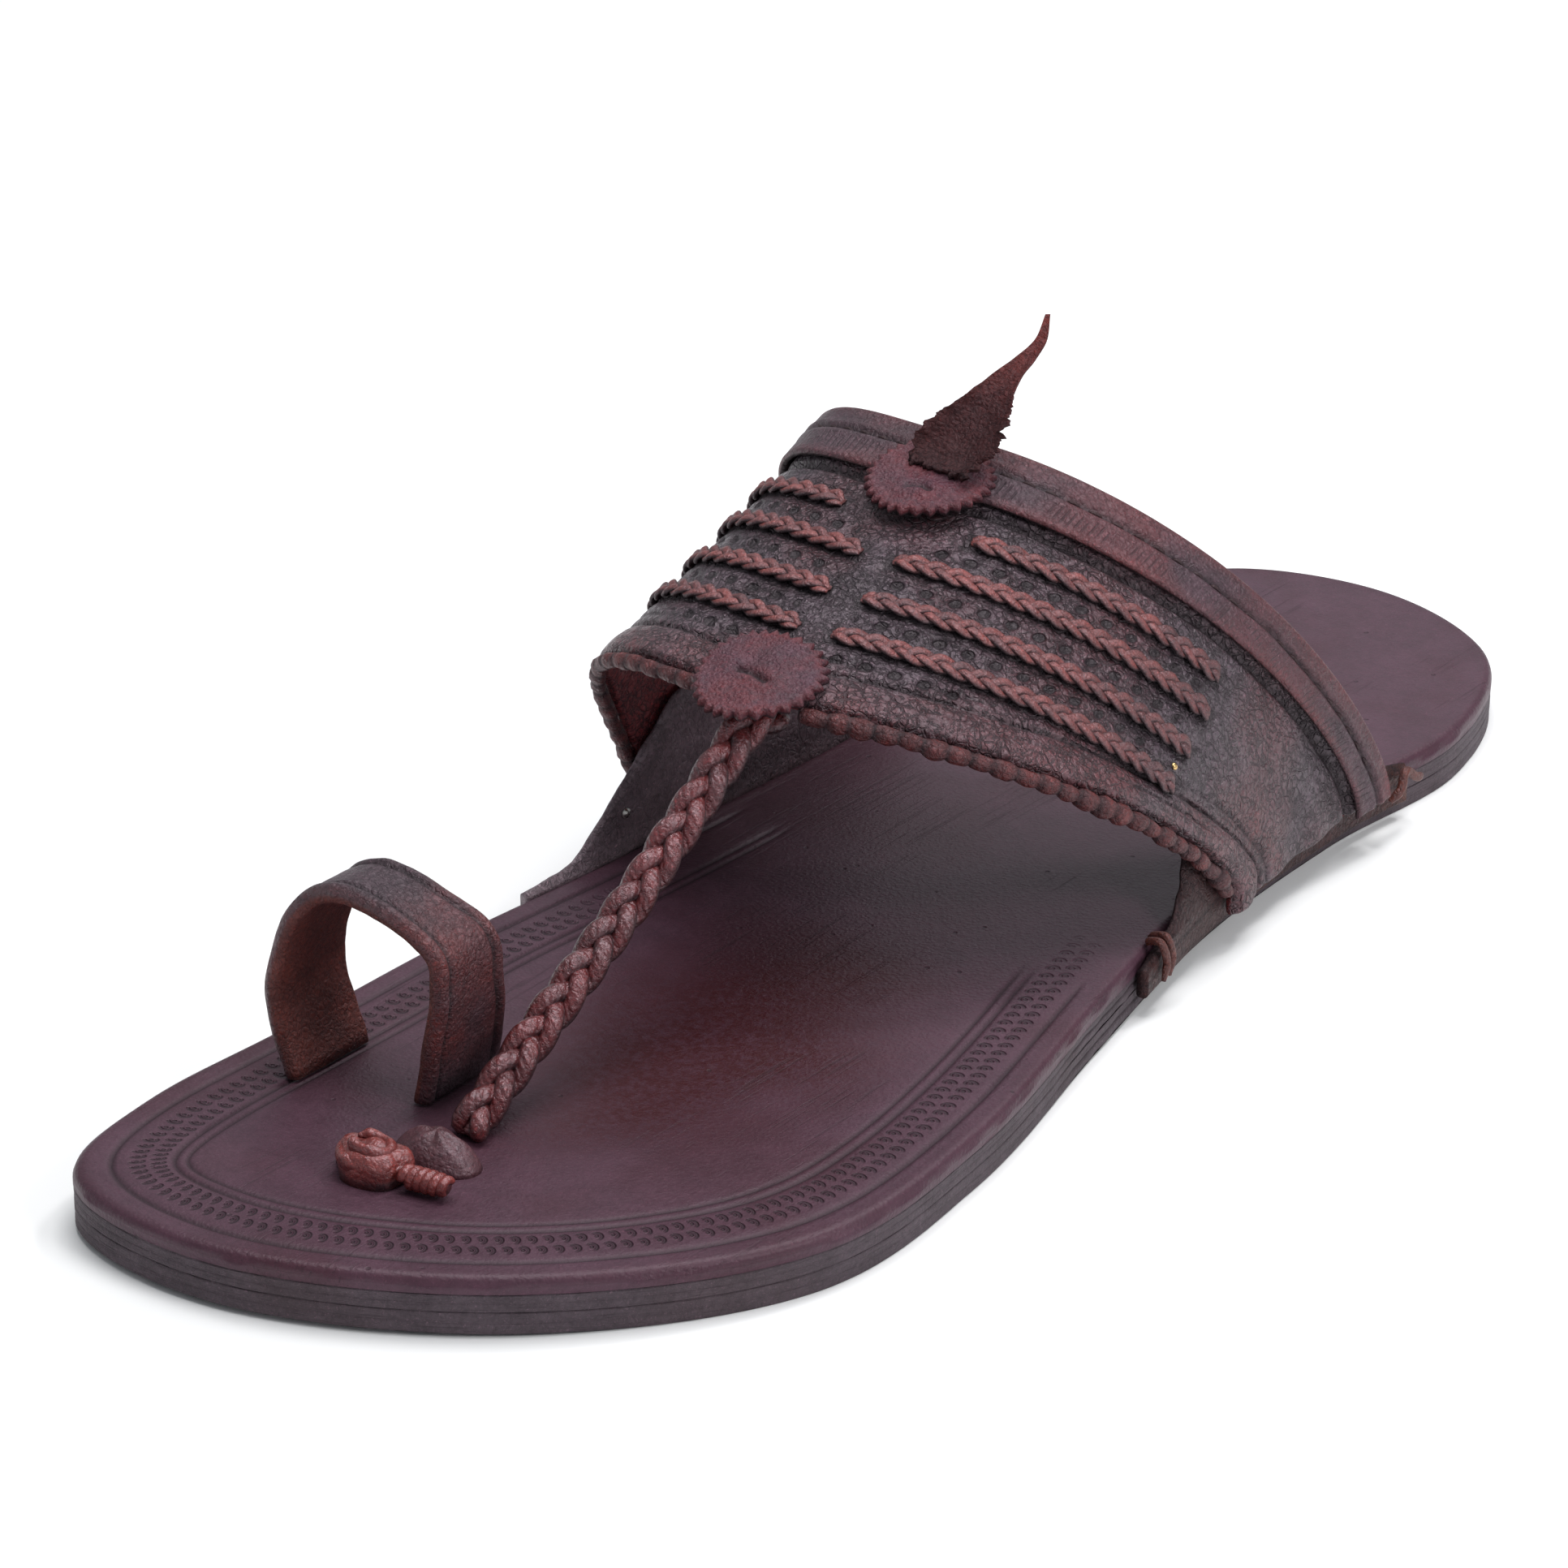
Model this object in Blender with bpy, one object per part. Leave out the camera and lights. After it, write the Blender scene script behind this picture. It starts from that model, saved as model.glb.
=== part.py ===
"""A left kolhapuri sandal of leather, empty and standing on its sole.

Metres, +Z up, toe towards +Y, the big toe's side at +X. The floor is at z = 0, and the middle of
the sole's box is at x = y = 0.
"""
import math
from functools import lru_cache

import bmesh
import bpy
import numpy as np
from mathutils import Vector

MM = 0.001

# Sole
LENGTH = 284 * MM
BALL_WIDTH = 97 * MM
FOOTBED_THICK = 2.6 * MM
MIDSOLE_THICK = 2.2 * MM
OUTSOLE_THICK = 3.3 * MM
FIT_GAP = 0.3 * MM
FOOTBED_EDGE_ROUND = 1.4 * MM
OUTSOLE_EDGE_ROUND = 0.9 * MM
LAYER_EDGE_ROUND = 0.35 * MM
SOLE_HEIGHT = OUTSOLE_THICK + MIDSOLE_THICK + FOOTBED_THICK + 2 * FIT_GAP
TOE_SPRING = 0.9 * MM
ARCH_RISE = 0.8 * MM
# Places along the length, as shares of it, where the sole starts and stops to rise
TOE_SPRING_START = 0.33
ARCH_HEEL_END = -0.24
ARCH_BALL_END = 0.13
BEND_STATIONS = 7

# Sole outline: across as a share of the ball's width, along as a share of the length
SOLE_OUTLINE = (
    # across, along: from the back of the heel up the big toe's side, then back on the outer side
    (0.072, -0.500),
    (0.350, -0.466),
    (0.440, -0.368),
    (0.443, -0.238),
    (0.426, -0.097),
    (0.443, 0.044),
    (0.474, 0.178),
    (0.476, 0.301),
    (0.477, 0.410),
    (0.392, 0.4895),
    (0.078, 0.4955),
    (-0.268, 0.428),
    (-0.514, 0.308),
    (-0.516, 0.178),
    (-0.423, 0.033),
    (-0.335, -0.118),
    (-0.310, -0.245),
    (-0.326, -0.364),
    (-0.206, -0.462),
)
OUTLINE_POINTS = 76
DENSE = 160

# Instep band: its wall, its crest's heights above the footbed, and how far it stops off the floor
BAND_WALL = 2.2 * MM
BAND_FRONT_HEIGHT = 43.7 * MM
BAND_REAR_HEIGHT = 58.7 * MM
BAND_FRONT_HEM = 4.6 * MM
BAND_REAR_HEM = 8.0 * MM
# How far the crest leans to the big toe's side at the rear edge
CREST_LEAN = 9.0 * MM
# Where each edge starts at the crest and ends at the two sides, as shares of the length
BAND_EDGES = {
    # edge: (crest, outer side, inner side, power of the curve between them)
    "front": (0.107, -0.113, 0.015, 1.57),
    "rear": (-0.114, -0.270, -0.224, 1.55),
}
# The section is a superellipse with a power for its reach and one for its height
BAND_SECTION = {
    # side: (reach, height)
    "outer": (1.11, 0.75),
    "inner": (0.45, 0.75),
}
BAND_FULLNESS = 0.14
WAIST_ALONG = -0.20

# Ears that rise from the sole's side inside the band
EAR_WALL = 1.8 * MM
EAR_HEM = 2.6 * MM
EAR_HEIGHT = 26.0 * MM
EAR_TOPS = {
    # side: rows of place from the band's front edge (0) to its rear edge (1), top as a share of the height
    "outer": ((-0.60, -0.06), (-0.40, 0.02), (-0.17, 0.22), (0.10, 0.54), (0.35, 0.85), (0.75, 0.92),
              (0.98, 0.45), (1.08, 0.08), (1.20, 0.02)),
    "inner": ((-0.45, 0.00), (-0.30, 0.06), (-0.10, 0.42), (0.15, 0.85), (0.50, 1.00), (0.85, 0.80),
              (1.00, 0.30), (1.08, 0.06)),
}

# Trims on the band
COLLAR_START = 0.80
COLLAR_THICK = 1.2 * MM
ROLL_RADIUS = 1.5 * MM
ROLL_BEAD = 3.4 * MM
ROLL_BEAD_DEPTH = 0.28
ROLL_CREST_GAP = 0.075
BRAID_WIDTH = 4.6 * MM
BRAID_HEIGHT = 1.9 * MM
BRAID_LUMP = 5.0 * MM
BRAID_LUMP_DEPTH = 0.28
BRAID_EDGE_DROP = 0.35
BRAID_ROWS = (
    # place from the band's front edge to its rear edge at the crest, how far it drifts forward on the
    # outer side, then the ends on the outer and inner side
    {"share": 0.24, "drift": 0.09, "outer": (-0.04, -0.69), "inner": (0.02, 0.72)},
    {"share": 0.38, "drift": 0.06, "outer": (-0.04, -0.66), "inner": (0.02, 0.72)},
    {"share": 0.53, "drift": 0.03, "outer": (-0.04, -0.63), "inner": (0.02, 0.72)},
    {"share": 0.67, "drift": 0.02, "outer": (-0.12, -0.59), "inner": (0.12, 0.72)},
)
FRONT_ROSETTE_RADIUS = 10.0 * MM
REAR_ROSETTE_RADIUS = 9.0 * MM
ROSETTE_THICK = 1.5 * MM
ROSETTE_TEETH = 30
ROSETTE_TOOTH = 0.9 * MM
FRONT_ROSETTE_SHARE = 0.03
REAR_ROSETTE_SHARE = 0.79
# The rear rosette lies on the collar strip
REAR_ROSETTE_LIFT = 2 * FIT_GAP + COLLAR_THICK
# The curled leaf rises off the rear rosette
LEAF_LENGTH = 32.0 * MM
LEAF_WIDTH = 13.0 * MM
LEAF_WALL = 1.1 * MM
LEAF_CUP = 0.2
LEAF_ROWS = (
    # across, back and up as shares of the leaf's length; width as a share of its width; its turn in degrees
    (0.00, 0.06, 0.008, 0.60, 0),
    (-0.03, 0.19, 0.068, 1.00, 4),
    (-0.06, 0.32, 0.18, 0.85, 10),
    (-0.10, 0.46, 0.30, 0.42, 20),
    (-0.13, 0.60, 0.38, 0.26, 30),
    (-0.14, 0.72, 0.46, 0.15, 36),
    (-0.12, 0.80, 0.57, 0.06, 40),
)

# Toe strap, a plaited cord from the front rosette down to the footbed between the toes
CORD_RADIUS = 3.2 * MM
CORD_STRANDS = 3
CORD_LOBE = 0.15
CORD_LAY = 17.0 * MM
CORD_FOOT = (0.040, 0.338)
CORD_SAG = 1.2 * MM
# How deep the cord's top lies in the band's shadow, and how its end bends down to the footbed
CORD_TOP_AHEAD = 1.0 * MM
CORD_TOP_RISE = 0.8 * MM
CORD_FOOT_BEND = (-3.2 * MM, 3.6 * MM)

# Toe loop: heights as shares of its own, across and along as shares of the sole's sizes
LOOP_HEIGHT = 31.0 * MM
LOOP_WALL = 2.6 * MM
LOOP_ROWS = (
    # across, height, back edge, front edge: from the inner foot over to the foot beside the cord
    (0.366, 0.00, 0.296, 0.352),
    (0.389, 0.18, 0.296, 0.352),
    (0.401, 0.42, 0.299, 0.352),
    (0.386, 0.69, 0.299, 0.349),
    (0.350, 0.90, 0.299, 0.343),
    (0.299, 0.99, 0.299, 0.340),
    (0.232, 0.98, 0.296, 0.338),
    (0.160, 0.91, 0.293, 0.336),
    (0.108, 0.79, 0.289, 0.335),
    (0.102, 0.58, 0.285, 0.335),
    (0.123, 0.26, 0.278, 0.333),
    (0.146, 0.00, 0.274, 0.331),
)

# Leather mound over the cord's root, the knot in front of it and its coiled end
MOUND_PLACE = (0.036, 0.3645)
MOUND_SIZE = (12.0 * MM, 7.4 * MM, 5.0 * MM)
KNOT_PLACE = (0.076, 0.396)
KNOT_SIZE = (11.8 * MM, 8.6 * MM, 5.6 * MM)
KNOT_LUMPS = 5
KNOT_LUMP_DEPTH = 0.10
COIL_PLACE = (-0.021, 0.394)
COIL_LENGTH = 7.0 * MM
COIL_RADIUS = 1.7 * MM
COIL_TURNS = 5
COIL_BEAD = 0.15

COLOURS = {
    # finish: red, green, blue, roughness
    "footbed": (0.085, 0.050, 0.062, 0.42),
    "sole_edge": (0.062, 0.048, 0.056, 0.55),
    "band": (0.075, 0.045, 0.050, 0.50),
    "strap": (0.085, 0.036, 0.035, 0.50),
    "trim": (0.150, 0.040, 0.034, 0.50),
    "braid": (0.120, 0.040, 0.036, 0.48),
}


def smooth_step(share):
    """Rises from 0 to 1 with level ends."""
    share = min(max(share, 0.0), 1.0)
    return share * share * (3 - 2 * share)


def even_steps(line, count):
    """Points at even distances along a line of points."""
    run = np.concatenate([[0.0], np.cumsum(np.linalg.norm(np.diff(line, axis=0), axis=1))])
    marks = np.linspace(0, run[-1], count)
    return np.stack([np.interp(marks, run, line[:, axis]) for axis in range(line.shape[1])], axis=1)


def curve_through(points, closed=False, steps=16):
    """A Catmull-Rom curve through the points, open or closed."""
    points = np.array(points, dtype=float)
    if closed:
        points = np.vstack([points[-1:], points, points[:2]])
    else:
        points = np.vstack([2 * points[0] - points[1], points, 2 * points[-1] - points[-2]])
    share = np.linspace(0, 1, steps, endpoint=False)[:, None]
    spans = []
    for before, start, end, after in zip(points, points[1:], points[2:], points[3:]):
        bend = 2 * before - 5 * start + 4 * end - after
        twist = 3 * (start - end) + after - before
        spans.append(start + 0.5 * share * (end - before + share * (bend + share * twist)))
    return np.vstack(spans + [points[-2:-1]])


def on_curve(points, share, steps=16):
    """The point at a share of the rows of an open curve through the points."""
    curve = curve_through(points, steps=steps)
    place = min(max(share, 0.0), 1.0) * (len(curve) - 1)
    step = min(int(place), len(curve) - 2)
    return curve[step] + (curve[step + 1] - curve[step]) * (place - step)


def sole_outline(count):
    """Even points round the sole, from the back of the heel up the big toe's side."""
    curve = curve_through(SOLE_OUTLINE, closed=True) * (BALL_WIDTH, LENGTH)
    return even_steps(curve, count + 1)[:-1]


@lru_cache(maxsize=None)
def sole_sides():
    """The outline's two sides, each a line that runs forward."""
    edge = sole_outline(4 * DENSE)
    edge = np.roll(edge, -int(edge[:, 1].argmin()), axis=0)
    toe = int(edge[:, 1].argmax())
    return {"inner": edge[:toe + 1], "outer": edge[toe:][::-1]}


def sole_side(side, along):
    """How far across the sole's edge lies at a place along the foot."""
    line = sole_sides()[side]
    return float(np.interp(along, line[:, 1], line[:, 0]))


def ground_lift(along):
    """How far the sole rises off the floor: at the toe, and a little under the waist."""
    toe = smooth_step((along / LENGTH - TOE_SPRING_START) / (0.5 - TOE_SPRING_START))
    waist = (along / LENGTH - ARCH_HEEL_END) / (ARCH_BALL_END - ARCH_HEEL_END)
    arch = math.sin(math.pi * waist) ** 2 if 0 < waist < 1 else 0.0
    return TOE_SPRING * toe + ARCH_RISE * arch


def footbed_top(along):
    """Height of the footbed's top face."""
    return SOLE_HEIGHT + ground_lift(along)


def band_foot(side, along):
    """How far across the band's outer face stands where it passes the sole, outside the ear."""
    step = 1 * MM
    slope = (sole_side(side, along + step) - sole_side(side, along - step)) / (2 * step)
    reach = (BAND_WALL + EAR_WALL + 2 * FIT_GAP) * math.sqrt(1 + slope * slope)
    return sole_side(side, along) + (reach if side == "inner" else -reach)


@lru_cache(maxsize=None)
def band_section(share, side):
    """One side of the band's outer face at a share of the way back, from its crest to the sole."""
    crest, outer, inner, curve = (
        front + (rear - front) * share for front, rear in zip(BAND_EDGES["front"], BAND_EDGES["rear"]))
    foot = outer if side == "outer" else inner
    reach_power, height_power = BAND_SECTION[side]
    height = BAND_FRONT_HEIGHT + (BAND_REAR_HEIGHT - BAND_FRONT_HEIGHT) * share
    waist = WAIST_ALONG * LENGTH
    axis = (sole_side("inner", waist) + sole_side("outer", waist)) / 2
    reach = band_foot(side, foot * LENGTH) - axis
    points = []
    for step in range(DENSE + 1):
        turn = step / DENSE
        sine = math.sin(turn * math.pi / 2)
        cosine = max(math.cos(turn * math.pi / 2), 0.0)
        along = (crest + (foot - crest) * turn ** curve) * LENGTH
        full = 1 + BAND_FULLNESS * cosine * cosine * sine
        across = axis + CREST_LEAN * share * cosine + reach * sine ** reach_power * full
        points.append((across, along, footbed_top(along) + height * cosine ** height_power))
    return even_steps(np.array(points), DENSE + 1)


def band_face(turn, share):
    """A point of the band's outer face.

    turn is 0 at the crest, -1 at the footbed's height on the outer side and +1 on the inner side.
    Past that the face hangs straight down, and 2 is the sole's underside.
    """
    line = band_section(round(share, 6), "inner" if turn > 0 else "outer")
    reach = min(abs(turn), 1.0) * DENSE
    step = min(int(reach), DENSE - 1)
    point = line[step] + (line[step + 1] - line[step]) * (reach - step)
    return Vector((point[0], point[1], point[2] - max(abs(turn) - 1, 0.0) * SOLE_HEIGHT))


def band_slopes(turn, share):
    """How the band's face runs, for a step of turn and for a step of share."""
    step = 0.01
    if abs(turn) > 1 - step:
        side = math.copysign(1, turn)
        round_ = side * (band_face(side * (1 + step), share) - band_face(side, share)) / step
    else:
        round_ = (band_face(turn + step, share) - band_face(turn - step, share)) / (2 * step)
    back = (band_face(turn, share + step) - band_face(turn, share - step)) / (2 * step)
    return round_, back


def on_band(turn, share, out):
    """A point off the band's outer face, out along its normal."""
    round_, back = band_slopes(turn, share)
    return band_face(turn, share) + back.cross(round_).normalized() * out


def on_band_near(share, across, back, out):
    """A point off the band, near a place of its crest: across and back along the face."""
    round_, rearward = band_slopes(0.0, share)
    skew = round_.dot(rearward) / rearward.length_squared
    turn = across / round_.length
    return on_band(turn, share + back / rearward.length - skew * turn, out)


def turn_at_height(side, share, height):
    """The turn at which the band's face is at a height above the footbed."""
    if height <= 0:
        return 1 - height / SOLE_HEIGHT
    line = band_section(round(share, 6), side)
    rise = line[:, 2] - line[-1, 2]
    return float(np.interp(height, rise[::-1], np.linspace(1, 0, DENSE + 1)))


def make_finish(name):
    """A plain material of one of the named finishes."""
    red, green, blue, roughness = COLOURS[name]
    material = bpy.data.materials.get(name) or bpy.data.materials.new(name)
    material.use_nodes = True
    shader = material.node_tree.nodes["Principled BSDF"]
    shader.inputs["Base Color"].default_value = (red, green, blue, 1)
    shader.inputs["Roughness"].default_value = roughness
    return material


def make_object(name, mesh, finish):
    """Makes a named object of a closed bmesh, with its faces pointing out."""
    mesh.normal_update()
    bmesh.ops.recalc_face_normals(mesh, faces=mesh.faces[:])
    if mesh.calc_volume(signed=True) < 0:
        bmesh.ops.reverse_faces(mesh, faces=mesh.faces[:])
    data = bpy.data.meshes.new(name)
    mesh.to_mesh(data)
    mesh.free()
    data.materials.append(make_finish(finish))
    data.shade_smooth()
    data.set_sharp_from_angle(angle=math.radians(40))
    piece = bpy.data.objects.new(name, data)
    bpy.context.collection.objects.link(piece)
    return piece


def slab(name, columns, rows, place, finish):
    """A closed sheet: a flat slab of columns by rows whose every point is carried to its place."""
    mesh = bmesh.new()
    bmesh.ops.create_grid(mesh, x_segments=columns, y_segments=rows, size=0.5)
    raised = bmesh.ops.extrude_face_region(mesh, geom=mesh.faces[:])["geom"]
    new_verts = [item for item in raised if isinstance(item, bmesh.types.BMVert)]
    bmesh.ops.translate(mesh, vec=(0, 0, 1), verts=new_verts)
    for vert in mesh.verts:
        vert.co = place(vert.co.x + 0.5, vert.co.y + 0.5, vert.co.z)
    return make_object(name, mesh, finish)


def loft(name, sides, rings, place, finish):
    """A closed solid of rings: place gives the point at an angle and at a share of the way."""
    mesh = bmesh.new()
    bmesh.ops.create_circle(mesh, cap_ends=False, radius=1, segments=sides)
    edges = mesh.edges[:]
    for _ in range(rings):
        grown = bmesh.ops.extrude_edge_only(mesh, edges=edges)["geom"]
        new_verts = [item for item in grown if isinstance(item, bmesh.types.BMVert)]
        bmesh.ops.translate(mesh, vec=(0, 0, 1), verts=new_verts)
        edges = [item for item in grown if isinstance(item, bmesh.types.BMEdge) and item.is_boundary]
    bmesh.ops.holes_fill(mesh, edges=[edge for edge in mesh.edges if edge.is_boundary])
    for vert in mesh.verts:
        vert.co = place(math.atan2(vert.co.y, vert.co.x), vert.co.z / rings)
    return make_object(name, mesh, finish)


def sole_layer(name, bottom, thick, top_round, bottom_round, finish):
    """One leather layer of the sole, cut to the outline and bent along the ground line."""
    mesh = bmesh.new()
    corners = [mesh.verts.new((across, along, bottom)) for across, along in sole_outline(OUTLINE_POINTS)]
    raised = bmesh.ops.extrude_face_region(mesh, geom=[mesh.faces.new(corners)])["geom"]
    new_verts = [item for item in raised if isinstance(item, bmesh.types.BMVert)]
    bmesh.ops.translate(mesh, vec=(0, 0, thick), verts=new_verts)
    middle = bottom + thick / 2
    for width, upper in ((top_round, True), (bottom_round, False)):
        rim = [edge for edge in mesh.edges
               if all((vert.co.z > middle) == upper for vert in edge.verts)]
        segments = 2 if width > 2 * LAYER_EDGE_ROUND else 1
        bmesh.ops.bevel(mesh, geom=rim, offset=width, segments=segments, profile=0.5,
                        affect="EDGES", material=-1)
    stations = np.concatenate([
        np.linspace(ARCH_HEEL_END, ARCH_BALL_END, BEND_STATIONS),
        np.linspace(TOE_SPRING_START, 0.5, BEND_STATIONS)[:-1],
    ])
    for along in stations * LENGTH:
        everything = mesh.verts[:] + mesh.edges[:] + mesh.faces[:]
        bmesh.ops.bisect_plane(mesh, geom=everything, dist=1e-6, plane_co=(0, along, 0), plane_no=(0, 1, 0))
    for vert in mesh.verts:
        vert.co.z += ground_lift(vert.co.y)
    return make_object(name, mesh, finish)


def make_sole():
    """Outsole, midsole and footbed, one on the other."""
    sole_layer("outsole", 0.0, OUTSOLE_THICK, LAYER_EDGE_ROUND, OUTSOLE_EDGE_ROUND, "sole_edge")
    midsole_bottom = OUTSOLE_THICK + FIT_GAP
    sole_layer("midsole", midsole_bottom, MIDSOLE_THICK, LAYER_EDGE_ROUND, LAYER_EDGE_ROUND, "sole_edge")
    footbed_bottom = midsole_bottom + MIDSOLE_THICK + FIT_GAP
    sole_layer("footbed", footbed_bottom, FOOTBED_THICK, FOOTBED_EDGE_ROUND, LAYER_EDGE_ROUND, "footbed")


def band_hem(share):
    """The turn at which the band ends beside the sole."""
    return 2 - (BAND_FRONT_HEM + (BAND_REAR_HEM - BAND_FRONT_HEM) * share) / SOLE_HEIGHT


def make_band():
    """The instep band: one hollow arch over the foot, down both sides of the sole."""

    def place(around, back, layer):
        return on_band(band_hem(back) * (2 * around - 1), back, -BAND_WALL * (1 - layer))

    slab("upper_band", 44, 7, place, "band")


def make_ear(side):
    """A leather ear against the sole's side and up inside the band."""
    rows = np.array(EAR_TOPS[side])
    sign = 1 if side == "inner" else -1
    hem = 2 - EAR_HEM / SOLE_HEIGHT
    outer_face = BAND_WALL + FIT_GAP

    def place(back, up, layer):
        share = rows[0, 0] + (rows[-1, 0] - rows[0, 0]) * back
        height = float(np.interp(share, rows[:, 0], rows[:, 1])) * EAR_HEIGHT
        top = turn_at_height(side, share, height)
        turn = hem + (top - hem) * up
        return on_band(sign * turn, share, -outer_face - EAR_WALL * (1 - layer))

    slab("ear_" + side, 18, 4, place, "strap")


def make_collar():
    """The strip laid along the band's rear edge."""

    def place(around, back, layer):
        share = COLLAR_START + (1 - COLLAR_START) * back
        return on_band(band_hem(share) * (2 * around - 1), share, FIT_GAP + COLLAR_THICK * layer)

    slab("collar_strip", 44, 1, place, "strap")


def make_roll(side):
    """The beaded roll along the band's front edge, from the cord down to the footbed."""
    sign = 1 if side == "inner" else -1
    start, end = sign * ROLL_CREST_GAP, sign * 1.0
    length = sum((band_face(start + (end - start) * (step + 1) / DENSE, 0.0)
                  - band_face(start + (end - start) * step / DENSE, 0.0)).length for step in range(DENSE))
    beads = max(4, round(length / ROLL_BEAD))

    def place(angle, along):
        turn = start + (end - start) * along
        round_, back = band_slopes(turn, 0.0)
        out = back.cross(round_).normalized()
        forward = out.cross(round_).normalized()
        pinch = (1 + math.cos(2 * math.pi * beads * along)) / 2
        radius = ROLL_RADIUS * (1 - ROLL_BEAD_DEPTH * pinch)
        middle = on_band(turn, 0.0, -BAND_WALL / 2) + forward * (FIT_GAP + ROLL_RADIUS)
        return middle + (out * math.sin(angle) + forward * math.cos(angle)) * radius

    loft("edge_roll_" + side, 6, 2 * beads, place, "trim")


def make_braid(side, number, row):
    """A flat plait on the band, with its strips raised as lumps."""
    start, end = row[side]
    drift = row["drift"] if side == "outer" else 0.0
    length = (band_face(end, row["share"]) - band_face(start, row["share"])).length
    lumps = max(3, round(length / BRAID_LUMP))

    def place(along, across, layer):
        turn = start + (end - start) * along
        middle = row["share"] - drift * along * along
        share = middle + (across - 0.5) * BRAID_WIDTH / band_slopes(turn, middle)[1].length
        crown = 1 - BRAID_EDGE_DROP * abs(2 * across - 1)
        pinch = (1 - math.cos(2 * math.pi * lumps * along)) / 2
        return on_band(turn, share, FIT_GAP + BRAID_HEIGHT * crown * (1 - BRAID_LUMP_DEPTH * pinch) * layer)

    slab("braid_%s_%d" % (side, number), 2 * lumps, 2, place, "braid")


def make_rosette(name, size, share, lift):
    """A pinked leather disc on the crest of the band, lifted off its face."""
    profile = (
        # share of the radius, share of the thickness
        (0.12, 0.90),
        (0.62, 1.10),
        (0.97, 0.80),
        (0.97, 0.00),
        (0.12, 0.00),
    )

    def place(angle, ring):
        radius, height = profile[round(ring * (len(profile) - 1))]
        reach = radius * size
        if radius > 0.9:
            reach += ROSETTE_TOOTH / 2 * math.cos(ROSETTE_TEETH * angle)
        across, back = reach * math.cos(angle), reach * math.sin(angle)
        return on_band_near(share, across, back, lift + ROSETTE_THICK * height)

    loft(name, 2 * ROSETTE_TEETH, len(profile) - 1, place, "trim")


def make_leaf():
    """The curled leaf, wide at its root on the rear rosette and drawn out to a point."""
    root = on_band_near(REAR_ROSETTE_SHARE, 0, 0, REAR_ROSETTE_LIFT + ROSETTE_THICK * 1.1 + FIT_GAP)

    def place(along, across, layer):
        side, back, up, width, turn = on_curve(LEAF_ROWS, along)
        ahead = on_curve(LEAF_ROWS, min(along + 0.02, 1)) - on_curve(LEAF_ROWS, max(along - 0.02, 0))
        run = Vector((ahead[0], -ahead[1], ahead[2])).normalized()
        over = Vector((math.cos(math.radians(turn)), math.sin(math.radians(turn)), 0))
        face = run.cross(over).normalized()
        reach = (across - 0.5) * width * LEAF_WIDTH
        cup = (2 * across - 1) ** 2 * width * LEAF_WIDTH * LEAF_CUP
        spine = root + Vector((side, -back, up)) * LEAF_LENGTH
        return spine + over * reach + face * (cup + LEAF_WALL * layer)

    slab("curled_leaf", 14, 4, place, "trim")


def cord_line():
    """The toe strap's middle, from under the front rosette to the footbed."""
    crest = band_face(0.0, 0.0)
    top = crest + Vector((0, FIT_GAP + CORD_TOP_AHEAD, CORD_TOP_RISE - BAND_WALL - CORD_RADIUS))
    across, along = CORD_FOOT[0] * BALL_WIDTH, CORD_FOOT[1] * LENGTH
    foot = Vector((across, along, footbed_top(along) + FIT_GAP))
    near_foot = foot + Vector((0, *CORD_FOOT_BEND))
    middle = (top + near_foot) / 2 - Vector((0, 0, CORD_SAG))
    return [tuple(point) for point in (top, middle, near_foot, foot)]


def make_cord():
    """The plaited toe strap: one round cord with its strands raised in a twist."""
    line = even_steps(curve_through(cord_line(), steps=40), DENSE + 1)
    length = float(np.linalg.norm(np.diff(line, axis=0), axis=1).sum())
    turns = length / CORD_LAY

    def place(angle, along):
        step = min(int(along * DENSE), DENSE - 1)
        share = along * DENSE - step
        middle = Vector(line[step] + (line[step + 1] - line[step]) * share)
        ahead = Vector(line[min(step + 6, DENSE)] - line[max(step - 6, 0)]).normalized()
        if along == 1:
            ahead = Vector((0, 0, -1))
        side = Vector((1, 0, 0))
        side = (side - ahead * side.dot(ahead)).normalized()
        lobe = (1 - math.cos(CORD_STRANDS * angle - 2 * math.pi * turns * along)) / 2
        radius = CORD_RADIUS * (1 - CORD_LOBE * lobe)
        return middle + (side * math.cos(angle) + ahead.cross(side) * math.sin(angle)) * radius

    loft("toe_cord", 10, 38, place, "trim")


def dome(name, place_share, size, lumps, finish):
    """A low mound on the footbed, round or with lumps."""
    across, along = place_share[0] * BALL_WIDTH, place_share[1] * LENGTH
    middle = Vector((across, along, footbed_top(along) + FIT_GAP))

    def place(angle, ring):
        slope = 0.08 + 0.92 * ring
        reach = math.sin(slope * math.pi / 2)
        height = math.cos(slope * math.pi / 2)
        lump = 1 + (KNOT_LUMP_DEPTH * math.cos(lumps * angle) if lumps else 0.0)
        return middle + Vector((
            math.cos(angle) * reach * size[0] / 2 * lump,
            math.sin(angle) * reach * size[1] / 2 * lump,
            height * size[2] * lump,
        ))

    loft(name, 20, 6, place, finish)


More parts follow.
